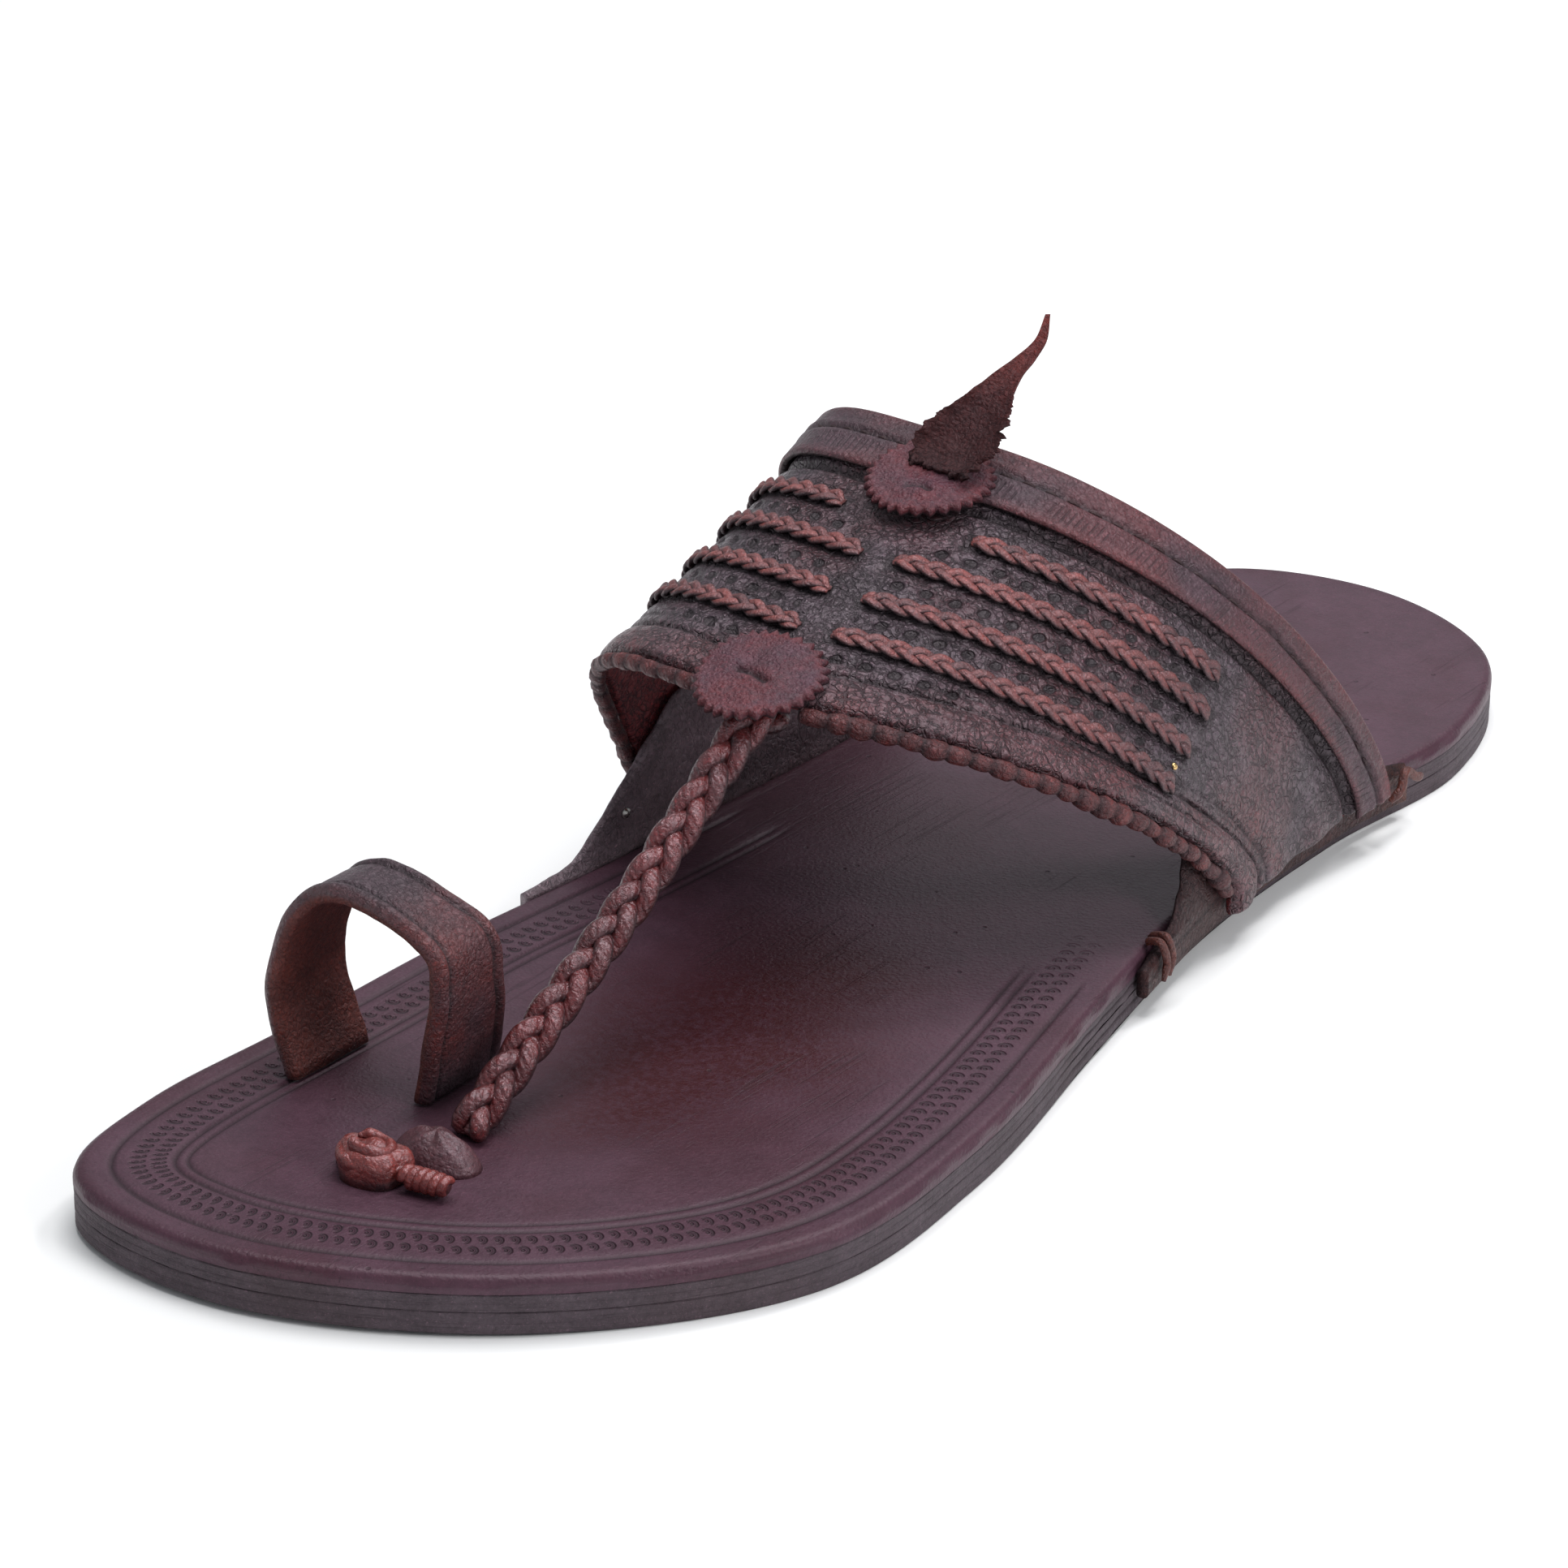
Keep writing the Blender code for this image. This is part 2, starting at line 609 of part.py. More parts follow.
def make_coil():
    """The knot's coiled end, lying on the footbed."""
    across, along = COIL_PLACE[0] * BALL_WIDTH, COIL_PLACE[1] * LENGTH
    middle = Vector((across, along, footbed_top(along) + FIT_GAP + COIL_RADIUS))
    axis = Vector((1, 0.2, 0)).normalized()
    side = Vector((0, 0, 1)).cross(axis)

    def place(angle, share):
        pinch = (1 - math.cos(2 * math.pi * COIL_TURNS * share)) / 2
        radius = COIL_RADIUS * (1 - 2 * COIL_BEAD * pinch)
        spot = middle + axis * (share - 0.5) * COIL_LENGTH
        return spot + (side * math.cos(angle) + Vector((0, 0, 1)) * math.sin(angle)) * radius

    loft("knot_coil", 10, 2 * COIL_TURNS, place, "trim")


def make_loop():
    """The big toe's loop, one strap that stands on the footbed."""
    seat = footbed_top(LOOP_ROWS[0][3] * LENGTH) + FIT_GAP

    def section(share):
        across, height, back, front = on_curve(LOOP_ROWS, share)
        return np.array([across * BALL_WIDTH, height * LOOP_HEIGHT, back * LENGTH, front * LENGTH])

    def place(along, across, layer):
        here = section(along)
        run = section(min(along + 0.01, 1.0)) - section(max(along - 0.01, 0.0))
        out = Vector((run[1], 0, -run[0])).normalized()
        if along in (0, 1):
            out = Vector((1 if along == 0 else -1, 0, 0))
        spot = Vector((here[0], here[2] + (here[3] - here[2]) * across, seat + here[1]))
        return spot - out * LOOP_WALL * (1 - layer)

    slab("toe_loop", 26, 3, place, "strap")


def build():
    """All the pieces of the sandal, in an emptied scene."""
    for item in list(bpy.data.objects):
        bpy.data.objects.remove(item, do_unlink=True)
    make_sole()
    make_band()
    make_collar()
    for side in ("outer", "inner"):
        make_ear(side)
        make_roll(side)
        for number, row in enumerate(BRAID_ROWS, 1):
            make_braid(side, number, row)
    make_rosette("rosette_front", FRONT_ROSETTE_RADIUS, FRONT_ROSETTE_SHARE, FIT_GAP)
    make_rosette("rosette_rear", REAR_ROSETTE_RADIUS, REAR_ROSETTE_SHARE, REAR_ROSETTE_LIFT)
    make_leaf()
    make_cord()
    make_loop()
    dome("root_mound", MOUND_PLACE, MOUND_SIZE, 0, "strap")
    dome("toe_knot", KNOT_PLACE, KNOT_SIZE, KNOT_LUMPS, "trim")
    make_coil()


build()
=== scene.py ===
"""The looks of the left kolhapuri sandal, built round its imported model.

Metres, +Z up, toe towards +Y, the big toe's side at +X. The sizes and the forms of the sole, band,
loop and cord are those of the part's own source, worked out here with finer steps.
"""

import math
from functools import lru_cache

import bmesh
import bpy
import numpy as np
from mathutils import Matrix, Vector, noise


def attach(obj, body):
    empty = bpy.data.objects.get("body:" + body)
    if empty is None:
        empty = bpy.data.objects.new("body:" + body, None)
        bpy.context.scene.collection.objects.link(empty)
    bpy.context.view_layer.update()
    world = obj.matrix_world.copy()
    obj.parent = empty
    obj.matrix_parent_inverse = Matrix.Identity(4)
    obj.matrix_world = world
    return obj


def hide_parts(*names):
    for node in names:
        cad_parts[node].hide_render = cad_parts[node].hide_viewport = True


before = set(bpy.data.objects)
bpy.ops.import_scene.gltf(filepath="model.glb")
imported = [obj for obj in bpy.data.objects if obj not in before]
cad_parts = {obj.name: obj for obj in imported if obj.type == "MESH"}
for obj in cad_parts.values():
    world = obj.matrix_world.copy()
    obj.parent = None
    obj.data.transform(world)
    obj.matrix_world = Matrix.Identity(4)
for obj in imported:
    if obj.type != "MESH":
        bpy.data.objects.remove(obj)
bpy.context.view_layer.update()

MM = 0.001

# Sole
LENGTH = 284 * MM
BALL_WIDTH = 97 * MM
FOOTBED_THICK = 2.6 * MM
MIDSOLE_THICK = 2.2 * MM
OUTSOLE_THICK = 3.3 * MM
FIT_GAP = 0.3 * MM
SOLE_HEIGHT = OUTSOLE_THICK + MIDSOLE_THICK + FOOTBED_THICK + 2 * FIT_GAP
TOE_SPRING = 0.9 * MM
ARCH_RISE = 0.8 * MM
TOE_SPRING_START = 0.33
ARCH_HEEL_END = -0.24
ARCH_BALL_END = 0.13
SOLE_OUTLINE = (
    # across as a share of the ball's width, along as a share of the length
    (0.072, -0.500),
    (0.350, -0.466),
    (0.440, -0.368),
    (0.443, -0.238),
    (0.426, -0.097),
    (0.443, 0.044),
    (0.474, 0.178),
    (0.476, 0.301),
    (0.477, 0.410),
    (0.392, 0.4895),
    (0.078, 0.4955),
    (-0.268, 0.428),
    (-0.514, 0.308),
    (-0.516, 0.178),
    (-0.423, 0.033),
    (-0.335, -0.118),
    (-0.310, -0.245),
    (-0.326, -0.364),
    (-0.206, -0.462),
)
OUTLINE_POINTS = 560
OUTLINE_RUN = 670.0  # length of the sole's edge in millimetres, for the marks along it
CURVE_STEPS = 160

# Tooled border of the footbed: distances from the sole's edge, and where it starts and ends round it
GROOVES = (
    # distance from the edge, half width, depth
    (4.2 * MM, 0.45 * MM, 0.34 * MM),
    (12.2 * MM, 0.42 * MM, 0.30 * MM),
    (14.0 * MM, 0.38 * MM, 0.24 * MM),
)
BORDER_START = 0.235
BORDER_END = 0.745
STAMPS_START = 0.30
STAMPS_END = 0.765
STAMP_PITCH = 2.5  # in millimetres, as the marks are
STAMP_BAND = (5.9, 11.3)

# Instep band
BAND_WALL = 2.2 * MM
BAND_FRONT_HEIGHT = 43.7 * MM
BAND_REAR_HEIGHT = 58.7 * MM
BAND_FRONT_HEM = 4.6 * MM
BAND_REAR_HEM = 8.0 * MM
CREST_LEAN = 9.0 * MM
BAND_EDGES = {
    # edge: (crest, outer side, inner side, power of the curve between them), as shares of the length
    "front": (0.107, -0.113, 0.015, 1.57),
    "rear": (-0.114, -0.270, -0.224, 1.55),
}
BAND_SECTION = {
    # side: (reach, height)
    "outer": (1.11, 0.75),
    "inner": (0.45, 0.75),
}
BAND_FULLNESS = 0.14
WAIST_ALONG = -0.20
EAR_WALL = 1.8 * MM
EAR_HEM = 2.6 * MM
EAR_HEIGHT = 26.0 * MM
EAR_TOPS = {
    # side: rows of place from the band's front edge to its rear edge, top as a share of the height
    "outer": ((-0.60, -0.06), (-0.40, 0.02), (-0.17, 0.22), (0.10, 0.54), (0.35, 0.85), (0.75, 0.92),
              (0.98, 0.45), (1.08, 0.08), (1.20, 0.02)),
    "inner": ((-0.45, 0.00), (-0.30, 0.06), (-0.10, 0.42), (0.15, 0.85), (0.50, 1.00), (0.85, 0.80),
              (1.00, 0.30), (1.08, 0.06)),
}

# Trims on the band
COLLAR_START = 0.80
COLLAR_THICK = 1.2 * MM
ROLL_RADIUS = 1.5 * MM
ROLL_BEAD = 3.7 * MM
ROLL_CREST_GAP = 0.075
PLAIT_ROWS = (
    # place from the front edge to the rear edge at the crest, drift forward on the outer side, ends
    {"share": 0.24, "drift": 0.09, "outer": (-0.04, -0.69), "inner": (0.02, 0.72)},
    {"share": 0.38, "drift": 0.06, "outer": (-0.04, -0.66), "inner": (0.02, 0.72)},
    {"share": 0.53, "drift": 0.03, "outer": (-0.04, -0.63), "inner": (0.02, 0.72)},
    {"share": 0.67, "drift": 0.02, "outer": (-0.12, -0.59), "inner": (0.12, 0.72)},
)
PLAIT_WIDTH = 3.9 * MM
PLAIT_THICK = 1.7 * MM
PLAIT_PERIOD = 9.9 * MM
HOLE_PITCH = 4.5  # in millimetres, as the marks are
HOLE_RADIUS = 1.05
HOLE_DEPTH = 0.45 * MM
FRONT_ROSETTE_RADIUS = 9.4 * MM
REAR_ROSETTE_RADIUS = 9.0 * MM
ROSETTE_THICK = 1.5 * MM
ROSETTE_TEETH = 30
ROSETTE_TOOTH = 1.1 * MM
FRONT_ROSETTE_SHARE = 0.018
REAR_ROSETTE_SHARE = 0.79
REAR_ROSETTE_LIFT = 2 * FIT_GAP + COLLAR_THICK
LEAF_LENGTH = 32.0 * MM
LEAF_WIDTH = 13.0 * MM
LEAF_WALL = 1.1 * MM
LEAF_CUP = 0.2
LEAF_ROWS = (
    # across, back and up as shares of the leaf's length; width as a share of its width; its turn in degrees
    (-0.05, 0.05, -0.010, 0.86, 0),
    (-0.07, 0.19, 0.045, 1.02, 4),
    (-0.09, 0.32, 0.160, 0.84, 10),
    (-0.11, 0.46, 0.30, 0.42, 20),
    (-0.13, 0.60, 0.38, 0.26, 30),
    (-0.14, 0.72, 0.46, 0.15, 36),
    (-0.12, 0.80, 0.57, 0.06, 40),
)

# Toe strap, toe loop and what lies at the strap's root
CORD_RADIUS = 3.2 * MM
CORD_FOOT = (0.040, 0.338)
CORD_SAG = 1.2 * MM
CORD_TOP_AHEAD = 1.0 * MM
CORD_TOP_RISE = 0.8 * MM
CORD_FOOT_BEND = (-3.2 * MM, 3.6 * MM)
CORD_PERIOD = 19.0 * MM
CORD_TUCK = 7.0 * MM
LOOP_HEIGHT = 31.0 * MM
LOOP_WALL = 2.6 * MM
LOOP_ROWS = (
    # across, height, back edge, front edge: from the inner foot over to the foot beside the cord
    (0.366, 0.00, 0.296, 0.352),
    (0.389, 0.18, 0.296, 0.352),
    (0.401, 0.42, 0.299, 0.352),
    (0.386, 0.69, 0.299, 0.349),
    (0.350, 0.90, 0.299, 0.343),
    (0.299, 0.99, 0.299, 0.340),
    (0.232, 0.98, 0.296, 0.338),
    (0.160, 0.91, 0.293, 0.336),
    (0.108, 0.79, 0.289, 0.335),
    (0.102, 0.58, 0.285, 0.335),
    (0.123, 0.26, 0.278, 0.333),
    (0.146, 0.00, 0.274, 0.331),
)
MOUND_PLACE = (0.036, 0.3645)
MOUND_SIZE = (12.0 * MM, 7.4 * MM, 5.0 * MM)
KNOT_PLACE = (0.076, 0.396)
KNOT_SIZE = (11.8 * MM, 8.6 * MM, 5.6 * MM)
COIL_PLACE = (-0.021, 0.394)
COIL_LENGTH = 7.0 * MM
COIL_RADIUS = 1.7 * MM
COIL_TURNS = 5

# Colours that the leathers share: their hollows, dark with dirt and with painted shade, and their flesh side
DARK = (0.0060, 0.0035, 0.0045)
FLESH = (0.040, 0.010, 0.010)

# Camera of the photograph, in the part's frame
CAMERA_PLACE = (-0.45299, 0.61413, 0.40089)
CAMERA_RIGHT = (-0.78662, -0.61736, 0.00979)
CAMERA_DOWN = (-0.27818, 0.34020, -0.89827)
CAMERA_AHEAD = (0.55122, -0.70932, -0.43934)
CAMERA_LENS = 131.3

UP = Vector((0, 0, 1))
# The marks of each point: how rubbed it is, with painted light added there too (the footbed's painted
# reflection, the strands' painted highlights); how soiled it is, with painted shade in creases, hollows and
# gaps; whether it is the flesh side, and where it lies along and across its piece, in millimetres where a
# pattern needs that
MARKS = ("rub_and_painted_light", "dirt_and_shade", "flesh", "along", "across")
OFF_BORDER = 20.0  # a mark across that is clear of the footbed's stamps
OFF_ROWS = 9.0  # a mark across that is clear of the band's holes and the collar's ticks


def clip(value):
    """A value kept between 0 and 1."""
    return min(max(value, 0.0), 1.0)


def smooth_step(share):
    """Rises from 0 to 1 with level ends."""
    share = clip(share)
    return share * share * (3 - 2 * share)


def bell(distance, width):
    """A soft ridge: 1 in the middle, falling off over a width."""
    return math.exp(-(distance / width) ** 2)


def window(value, low, high, soft):
    """1 between low and high, with soft sides."""
    return smooth_step((value - low) / soft + 0.5) * smooth_step((high - value) / soft + 0.5)


def crowd(share, amount):
    """Draws the steps of a sheet together towards its two edges."""
    return share - amount * math.sin(2 * math.pi * share) / (2 * math.pi)


def spread_rows(share, knots):
    """Where a row of a sheet lies: knots give shares of the rows and the places they reach."""
    return float(np.interp(share, [knot[0] for knot in knots], [knot[1] for knot in knots]))


def edge_fall(distance, radius):
    """How much of its half thickness a sheet keeps at a distance from its rounded edge."""
    share = clip(distance / radius)
    return max(math.sqrt(1 - (1 - share) ** 2), 0.2)


def rough(place, size, seed=0.0):
    """Soft noise between about -1 and 1, with lumps of a size in metres."""
    return noise.noise(place / size + Vector((seed, 2 * seed, -seed)))


def wobble(x, y, z):
    """Soft noise between about -1 and 1 at three numbers."""
    return noise.noise(Vector((x, y, z)))


def spoke(angle, side, over):
    """The direction at an angle from one direction towards another."""
    return side * math.cos(angle) + over * math.sin(angle)


def even_steps(line, count):
    """Points at even distances along a line of points."""
    run = np.concatenate([[0.0], np.cumsum(np.linalg.norm(np.diff(line, axis=0), axis=1))])
    marks = np.linspace(0, run[-1], count)
    return np.stack([np.interp(marks, run, line[:, axis]) for axis in range(line.shape[1])], axis=1)


def curve_through(points, closed=False, steps=16):
    """A Catmull-Rom curve through the points, open or closed."""
    points = np.array(points, dtype=float)
    if closed:
        points = np.vstack([points[-1:], points, points[:2]])
    else:
        points = np.vstack([2 * points[0] - points[1], points, 2 * points[-1] - points[-2]])
    share = np.linspace(0, 1, steps, endpoint=False)[:, None]
    spans = []
    for before, start, end, after in zip(points, points[1:], points[2:], points[3:]):
        bend = 2 * before - 5 * start + 4 * end - after
        twist = 3 * (start - end) + after - before
        spans.append(start + 0.5 * share * (end - before + share * (bend + share * twist)))
    return np.vstack(spans + [points[-2:-1]])


@lru_cache(maxsize=None)
def row_curve(rows):
    """The dense curve through a table's rows."""
    return curve_through(rows, steps=16)


def on_curve(rows, share):
    """The point at a share of the rows of an open curve through a table's rows."""
    curve = row_curve(rows)
    place = clip(share) * (len(curve) - 1)
    step = min(int(place), len(curve) - 2)
    return curve[step] + (curve[step + 1] - curve[step]) * (place - step)


@lru_cache(maxsize=None)
def sole_outline(count):
    """Even points round the sole, from the back of the heel up the big toe's side."""
    curve = curve_through(SOLE_OUTLINE, closed=True, steps=40) * (BALL_WIDTH, LENGTH)
    return even_steps(curve, count + 1)[:-1]


@lru_cache(maxsize=None)
def sole_sides():
    """The outline's two sides, each a line that runs forward."""
    edge = sole_outline(4 * CURVE_STEPS)
    edge = np.roll(edge, -int(edge[:, 1].argmin()), axis=0)
    toe = int(edge[:, 1].argmax())
    return {"inner": edge[:toe + 1], "outer": edge[toe:][::-1]}


def sole_side(side, along):
    """How far across the sole's edge lies at a place along the foot."""
    line = sole_sides()[side]
    return float(np.interp(along, line[:, 1], line[:, 0]))


def ground_lift(along):
    """How far the sole rises off the floor: at the toe, and a little under the waist."""
    toe = smooth_step((along / LENGTH - TOE_SPRING_START) / (0.5 - TOE_SPRING_START))
    waist = (along / LENGTH - ARCH_HEEL_END) / (ARCH_BALL_END - ARCH_HEEL_END)
    arch = math.sin(math.pi * waist) ** 2 if 0 < waist < 1 else 0.0
    return TOE_SPRING * toe + ARCH_RISE * arch


def footbed_top(along):
    """Height of the footbed's top face."""
    return SOLE_HEIGHT + ground_lift(along)


def band_foot(side, along):
    """How far across the band's outer face stands where it passes the sole, outside the ear."""
    step = 1 * MM
    slope = (sole_side(side, along + step) - sole_side(side, along - step)) / (2 * step)
    reach = (BAND_WALL + EAR_WALL + 2 * FIT_GAP) * math.sqrt(1 + slope * slope)
    return sole_side(side, along) + (reach if side == "inner" else -reach)


@lru_cache(maxsize=None)
def band_section(share, side):
    """One side of the band's outer face at a share of the way back, from its crest to the sole."""
    crest, outer, inner, curve = (
        front + (rear - front) * share for front, rear in zip(BAND_EDGES["front"], BAND_EDGES["rear"]))
    foot = outer if side == "outer" else inner
    reach_power, height_power = BAND_SECTION[side]
    height = BAND_FRONT_HEIGHT + (BAND_REAR_HEIGHT - BAND_FRONT_HEIGHT) * share
    waist = WAIST_ALONG * LENGTH
    axis = (sole_side("inner", waist) + sole_side("outer", waist)) / 2
    reach = band_foot(side, foot * LENGTH) - axis
    turn = np.linspace(0, 1, CURVE_STEPS + 1)
    sine = np.sin(turn * math.pi / 2)
    cosine = np.maximum(np.cos(turn * math.pi / 2), 0.0)
    along = (crest + (foot - crest) * turn ** curve) * LENGTH
    full = 1 + BAND_FULLNESS * cosine * cosine * sine
    across = axis + CREST_LEAN * share * cosine + reach * sine ** reach_power * full
    floor_lift = np.array([footbed_top(place) for place in along])
    line = np.stack([across, along, floor_lift + height * cosine ** height_power], axis=1)
    return even_steps(line, CURVE_STEPS + 1)


def band_face(turn, share):
    """A point of the band's outer face: turn 0 at the crest, -1 and +1 at the footbed's height."""
    line = band_section(round(share, 5), "inner" if turn > 0 else "outer")
    reach = min(abs(turn), 1.0) * CURVE_STEPS
    step = min(int(reach), CURVE_STEPS - 1)
    point = line[step] + (line[step + 1] - line[step]) * (reach - step)
    return Vector((point[0], point[1], point[2] - max(abs(turn) - 1, 0.0) * SOLE_HEIGHT))


def band_slopes(turn, share):
    """How the band's face runs, for a step of turn and for a step of share."""
    step = 0.01
    if abs(turn) > 1 - step:
        side = math.copysign(1, turn)
        round_ = side * (band_face(side * (1 + step), share) - band_face(side, share)) / step
    else:
        round_ = (band_face(turn + step, share) - band_face(turn - step, share)) / (2 * step)
    back = (band_face(turn, share + step) - band_face(turn, share - step)) / (2 * step)
    return round_, back


@lru_cache(maxsize=None)
def band_frame(turn, share):
    """The band's face at a place, and the direction out of it."""
    round_, back = band_slopes(turn, share)
    return band_face(turn, share), back.cross(round_).normalized()


def on_band(turn, share, out):
    """A point off the band's outer face, out along its normal."""
    point, normal = band_frame(turn, share)
    return point + normal * out


def on_band_near(share, across, back, out):
    """A point off the band, near a place of its crest: across and back along the face."""
    round_, rearward = band_slopes(0.0, share)
    skew = round_.dot(rearward) / rearward.length_squared
    turn = across / round_.length
    return on_band(turn, share + back / rearward.length - skew * turn, out)


def turn_at_height(side, share, height):
    """The turn at which the band's face is at a height above the footbed."""
    if height <= 0:
        return 1 - height / SOLE_HEIGHT
    line = band_section(round(share, 5), side)
    rise = line[:, 2] - line[-1, 2]
    return float(np.interp(height, rise[::-1], np.linspace(1, 0, CURVE_STEPS + 1)))


@lru_cache(maxsize=None)
def band_depth(turn):
    """How deep the band is from its front edge to its rear edge at a turn."""
    return (band_face(turn, 1.0) - band_face(turn, 0.0)).length


@lru_cache(maxsize=None)
def band_reach(side, share):
    """How long the band's face is from its crest down to the footbed's height on one side."""
    line = band_section(round(share, 3), side)
    return float(np.linalg.norm(np.diff(line, axis=0), axis=1).sum())


def band_hem(share):
    """The turn at which the band ends beside the sole."""
    return 2 - (BAND_FRONT_HEM + (BAND_REAR_HEM - BAND_FRONT_HEM) * share) / SOLE_HEIGHT


def finish_piece(name, mesh, material, slot, *nodes):
    """Makes a named object of a closed bmesh, rides it on the sandal and lets it stand for its nodes."""
    mesh.normal_update()
    bmesh.ops.recalc_face_normals(mesh, faces=mesh.faces[:])
    if mesh.calc_volume(signed=True) < 0:
        bmesh.ops.reverse_faces(mesh, faces=mesh.faces[:])
    data = bpy.data.meshes.new(name)
    mesh.to_mesh(data)
    mesh.free()
    data.materials.append(material)
    data.shade_smooth()
    piece = bpy.data.objects.new(name, data)
    bpy.context.scene.collection.objects.link(piece)
    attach(piece, "root")
    if nodes:
        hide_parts(*nodes)
    return piece


def mark_layers(mesh):
    """The layers that keep the marks of a mesh's points."""
    layers = mesh.verts.layers.float
    for name in MARKS:
        if layers.get(name) is None:
            layers.new(name)
    return [layers.get(name) for name in MARKS]


def verts_of(parts):
    """The points among an operator's new parts."""
    return [part for part in parts if isinstance(part, bmesh.types.BMVert)]


def put_vert(vert, layers, point, marks):
    """Takes a point to its place and gives it its marks."""
    vert.co = point
    for layer, value in zip(layers, marks):
        vert[layer] = value


def sheet_piece(name, material, columns, rows, place, slot, *nodes):
    """A closed sheet: place gives the point and the marks for two shares and a layer, 0 or 1."""
    mesh = bmesh.new()
    layers = mark_layers(mesh)
    bmesh.ops.create_grid(mesh, x_segments=columns, y_segments=rows, size=0.5)
    raised = bmesh.ops.extrude_face_region(mesh, geom=mesh.faces[:])["geom"]
    bmesh.ops.translate(mesh, vec=(0, 0, 1), verts=verts_of(raised))
    for vert in mesh.verts:
        put_vert(vert, layers, *place(vert.co.x + 0.5, vert.co.y + 0.5, vert.co.z))
    return finish_piece(name, mesh, material, slot, *nodes)


def add_tube(mesh, sides, rings, place):
    """Adds a closed tube of rings: place gives the point and the marks for an angle and a share."""
    layers = mark_layers(mesh)
    verts = bmesh.ops.create_circle(mesh, cap_ends=False, radius=1, segments=sides)["verts"]
    edges = list({edge for vert in verts for edge in vert.link_edges})
    rim = list(edges)
    for _ in range(rings):
        grown = bmesh.ops.extrude_edge_only(mesh, edges=edges)["geom"]
        new_verts = verts_of(grown)
        bmesh.ops.translate(mesh, vec=(0, 0, 1), verts=new_verts)
        edges = [part for part in grown if isinstance(part, bmesh.types.BMEdge) and part.is_boundary]
        verts += new_verts
    bmesh.ops.holes_fill(mesh, edges=rim + edges)
    for vert in verts:
        put_vert(vert, layers, *place(math.atan2(vert.co.y, vert.co.x), vert.co.z / rings))


def tube_piece(name, material, sides, rings, place, slot, *nodes):
    """A piece that is one closed tube."""
    mesh = bmesh.new()
    add_tube(mesh, sides, rings, place)
    return finish_piece(name, mesh, material, slot, *nodes)


def bridge_cap(mesh, cap):
    """Closes a long narrow cap with faces straight across it, from one side of the sole to the other."""
    verts = list(cap.verts)
    heel = min(range(len(verts)), key=lambda number: verts[number].co.y)
    verts = verts[heel:] + verts[:heel]
    half, end = len(verts) // 2, 12
    sides = [verts[end:half - end], verts[half + end:-end]]
    bmesh.ops.delete(mesh, geom=[cap], context="FACES_ONLY")
    edges = [mesh.edges.get(pair) for side in sides for pair in zip(side, side[1:])]
    bmesh.ops.bridge_loops(mesh, edges=edges)
    bmesh.ops.holes_fill(mesh, edges=[edge for edge in mesh.edges if edge.is_boundary])


def add_rings(mesh, count, rings, place):
    """Adds a closed body of rings round an outline: place takes the point's and the ring's number."""

    def turned(angle, share):
        return place(round(angle / (2 * math.pi) * count) % count, round(share * rings))

    add_tube(mesh, count, rings, turned)
    for cap in [face for face in mesh.faces if len(face.verts) == count]:
        bridge_cap(mesh, cap)


@lru_cache(maxsize=None)
def outline_normals():
    """The directions out of the sole at the points of its outline."""
    edge = sole_outline(OUTLINE_POINTS)
    run = np.roll(edge, -1, axis=0) - np.roll(edge, 1, axis=0)
    out = np.stack([run[:, 1], -run[:, 0]], axis=1)
    return out / np.linalg.norm(out, axis=1)[:, None]


@lru_cache(maxsize=None)
def inset_ring(distance):
    """The line at a distance inside the sole's edge, its tight corners eased the further in it lies."""
    line = sole_outline(OUTLINE_POINTS) - outline_normals() * distance
    for _ in range(round(distance / MM * 14)):
        line = (np.roll(line, 1, axis=0) + 2 * line + np.roll(line, -1, axis=0)) / 4
    return line


def toward_middle(point, share):
    """A point moved a share of the way towards the sole's long middle line."""
    along = min(max(point[1], -0.40 * LENGTH), 0.38 * LENGTH)
    middle = np.array([(sole_side("inner", along) + sole_side("outer", along)) / 2, along])
    return point + (middle - point) * share


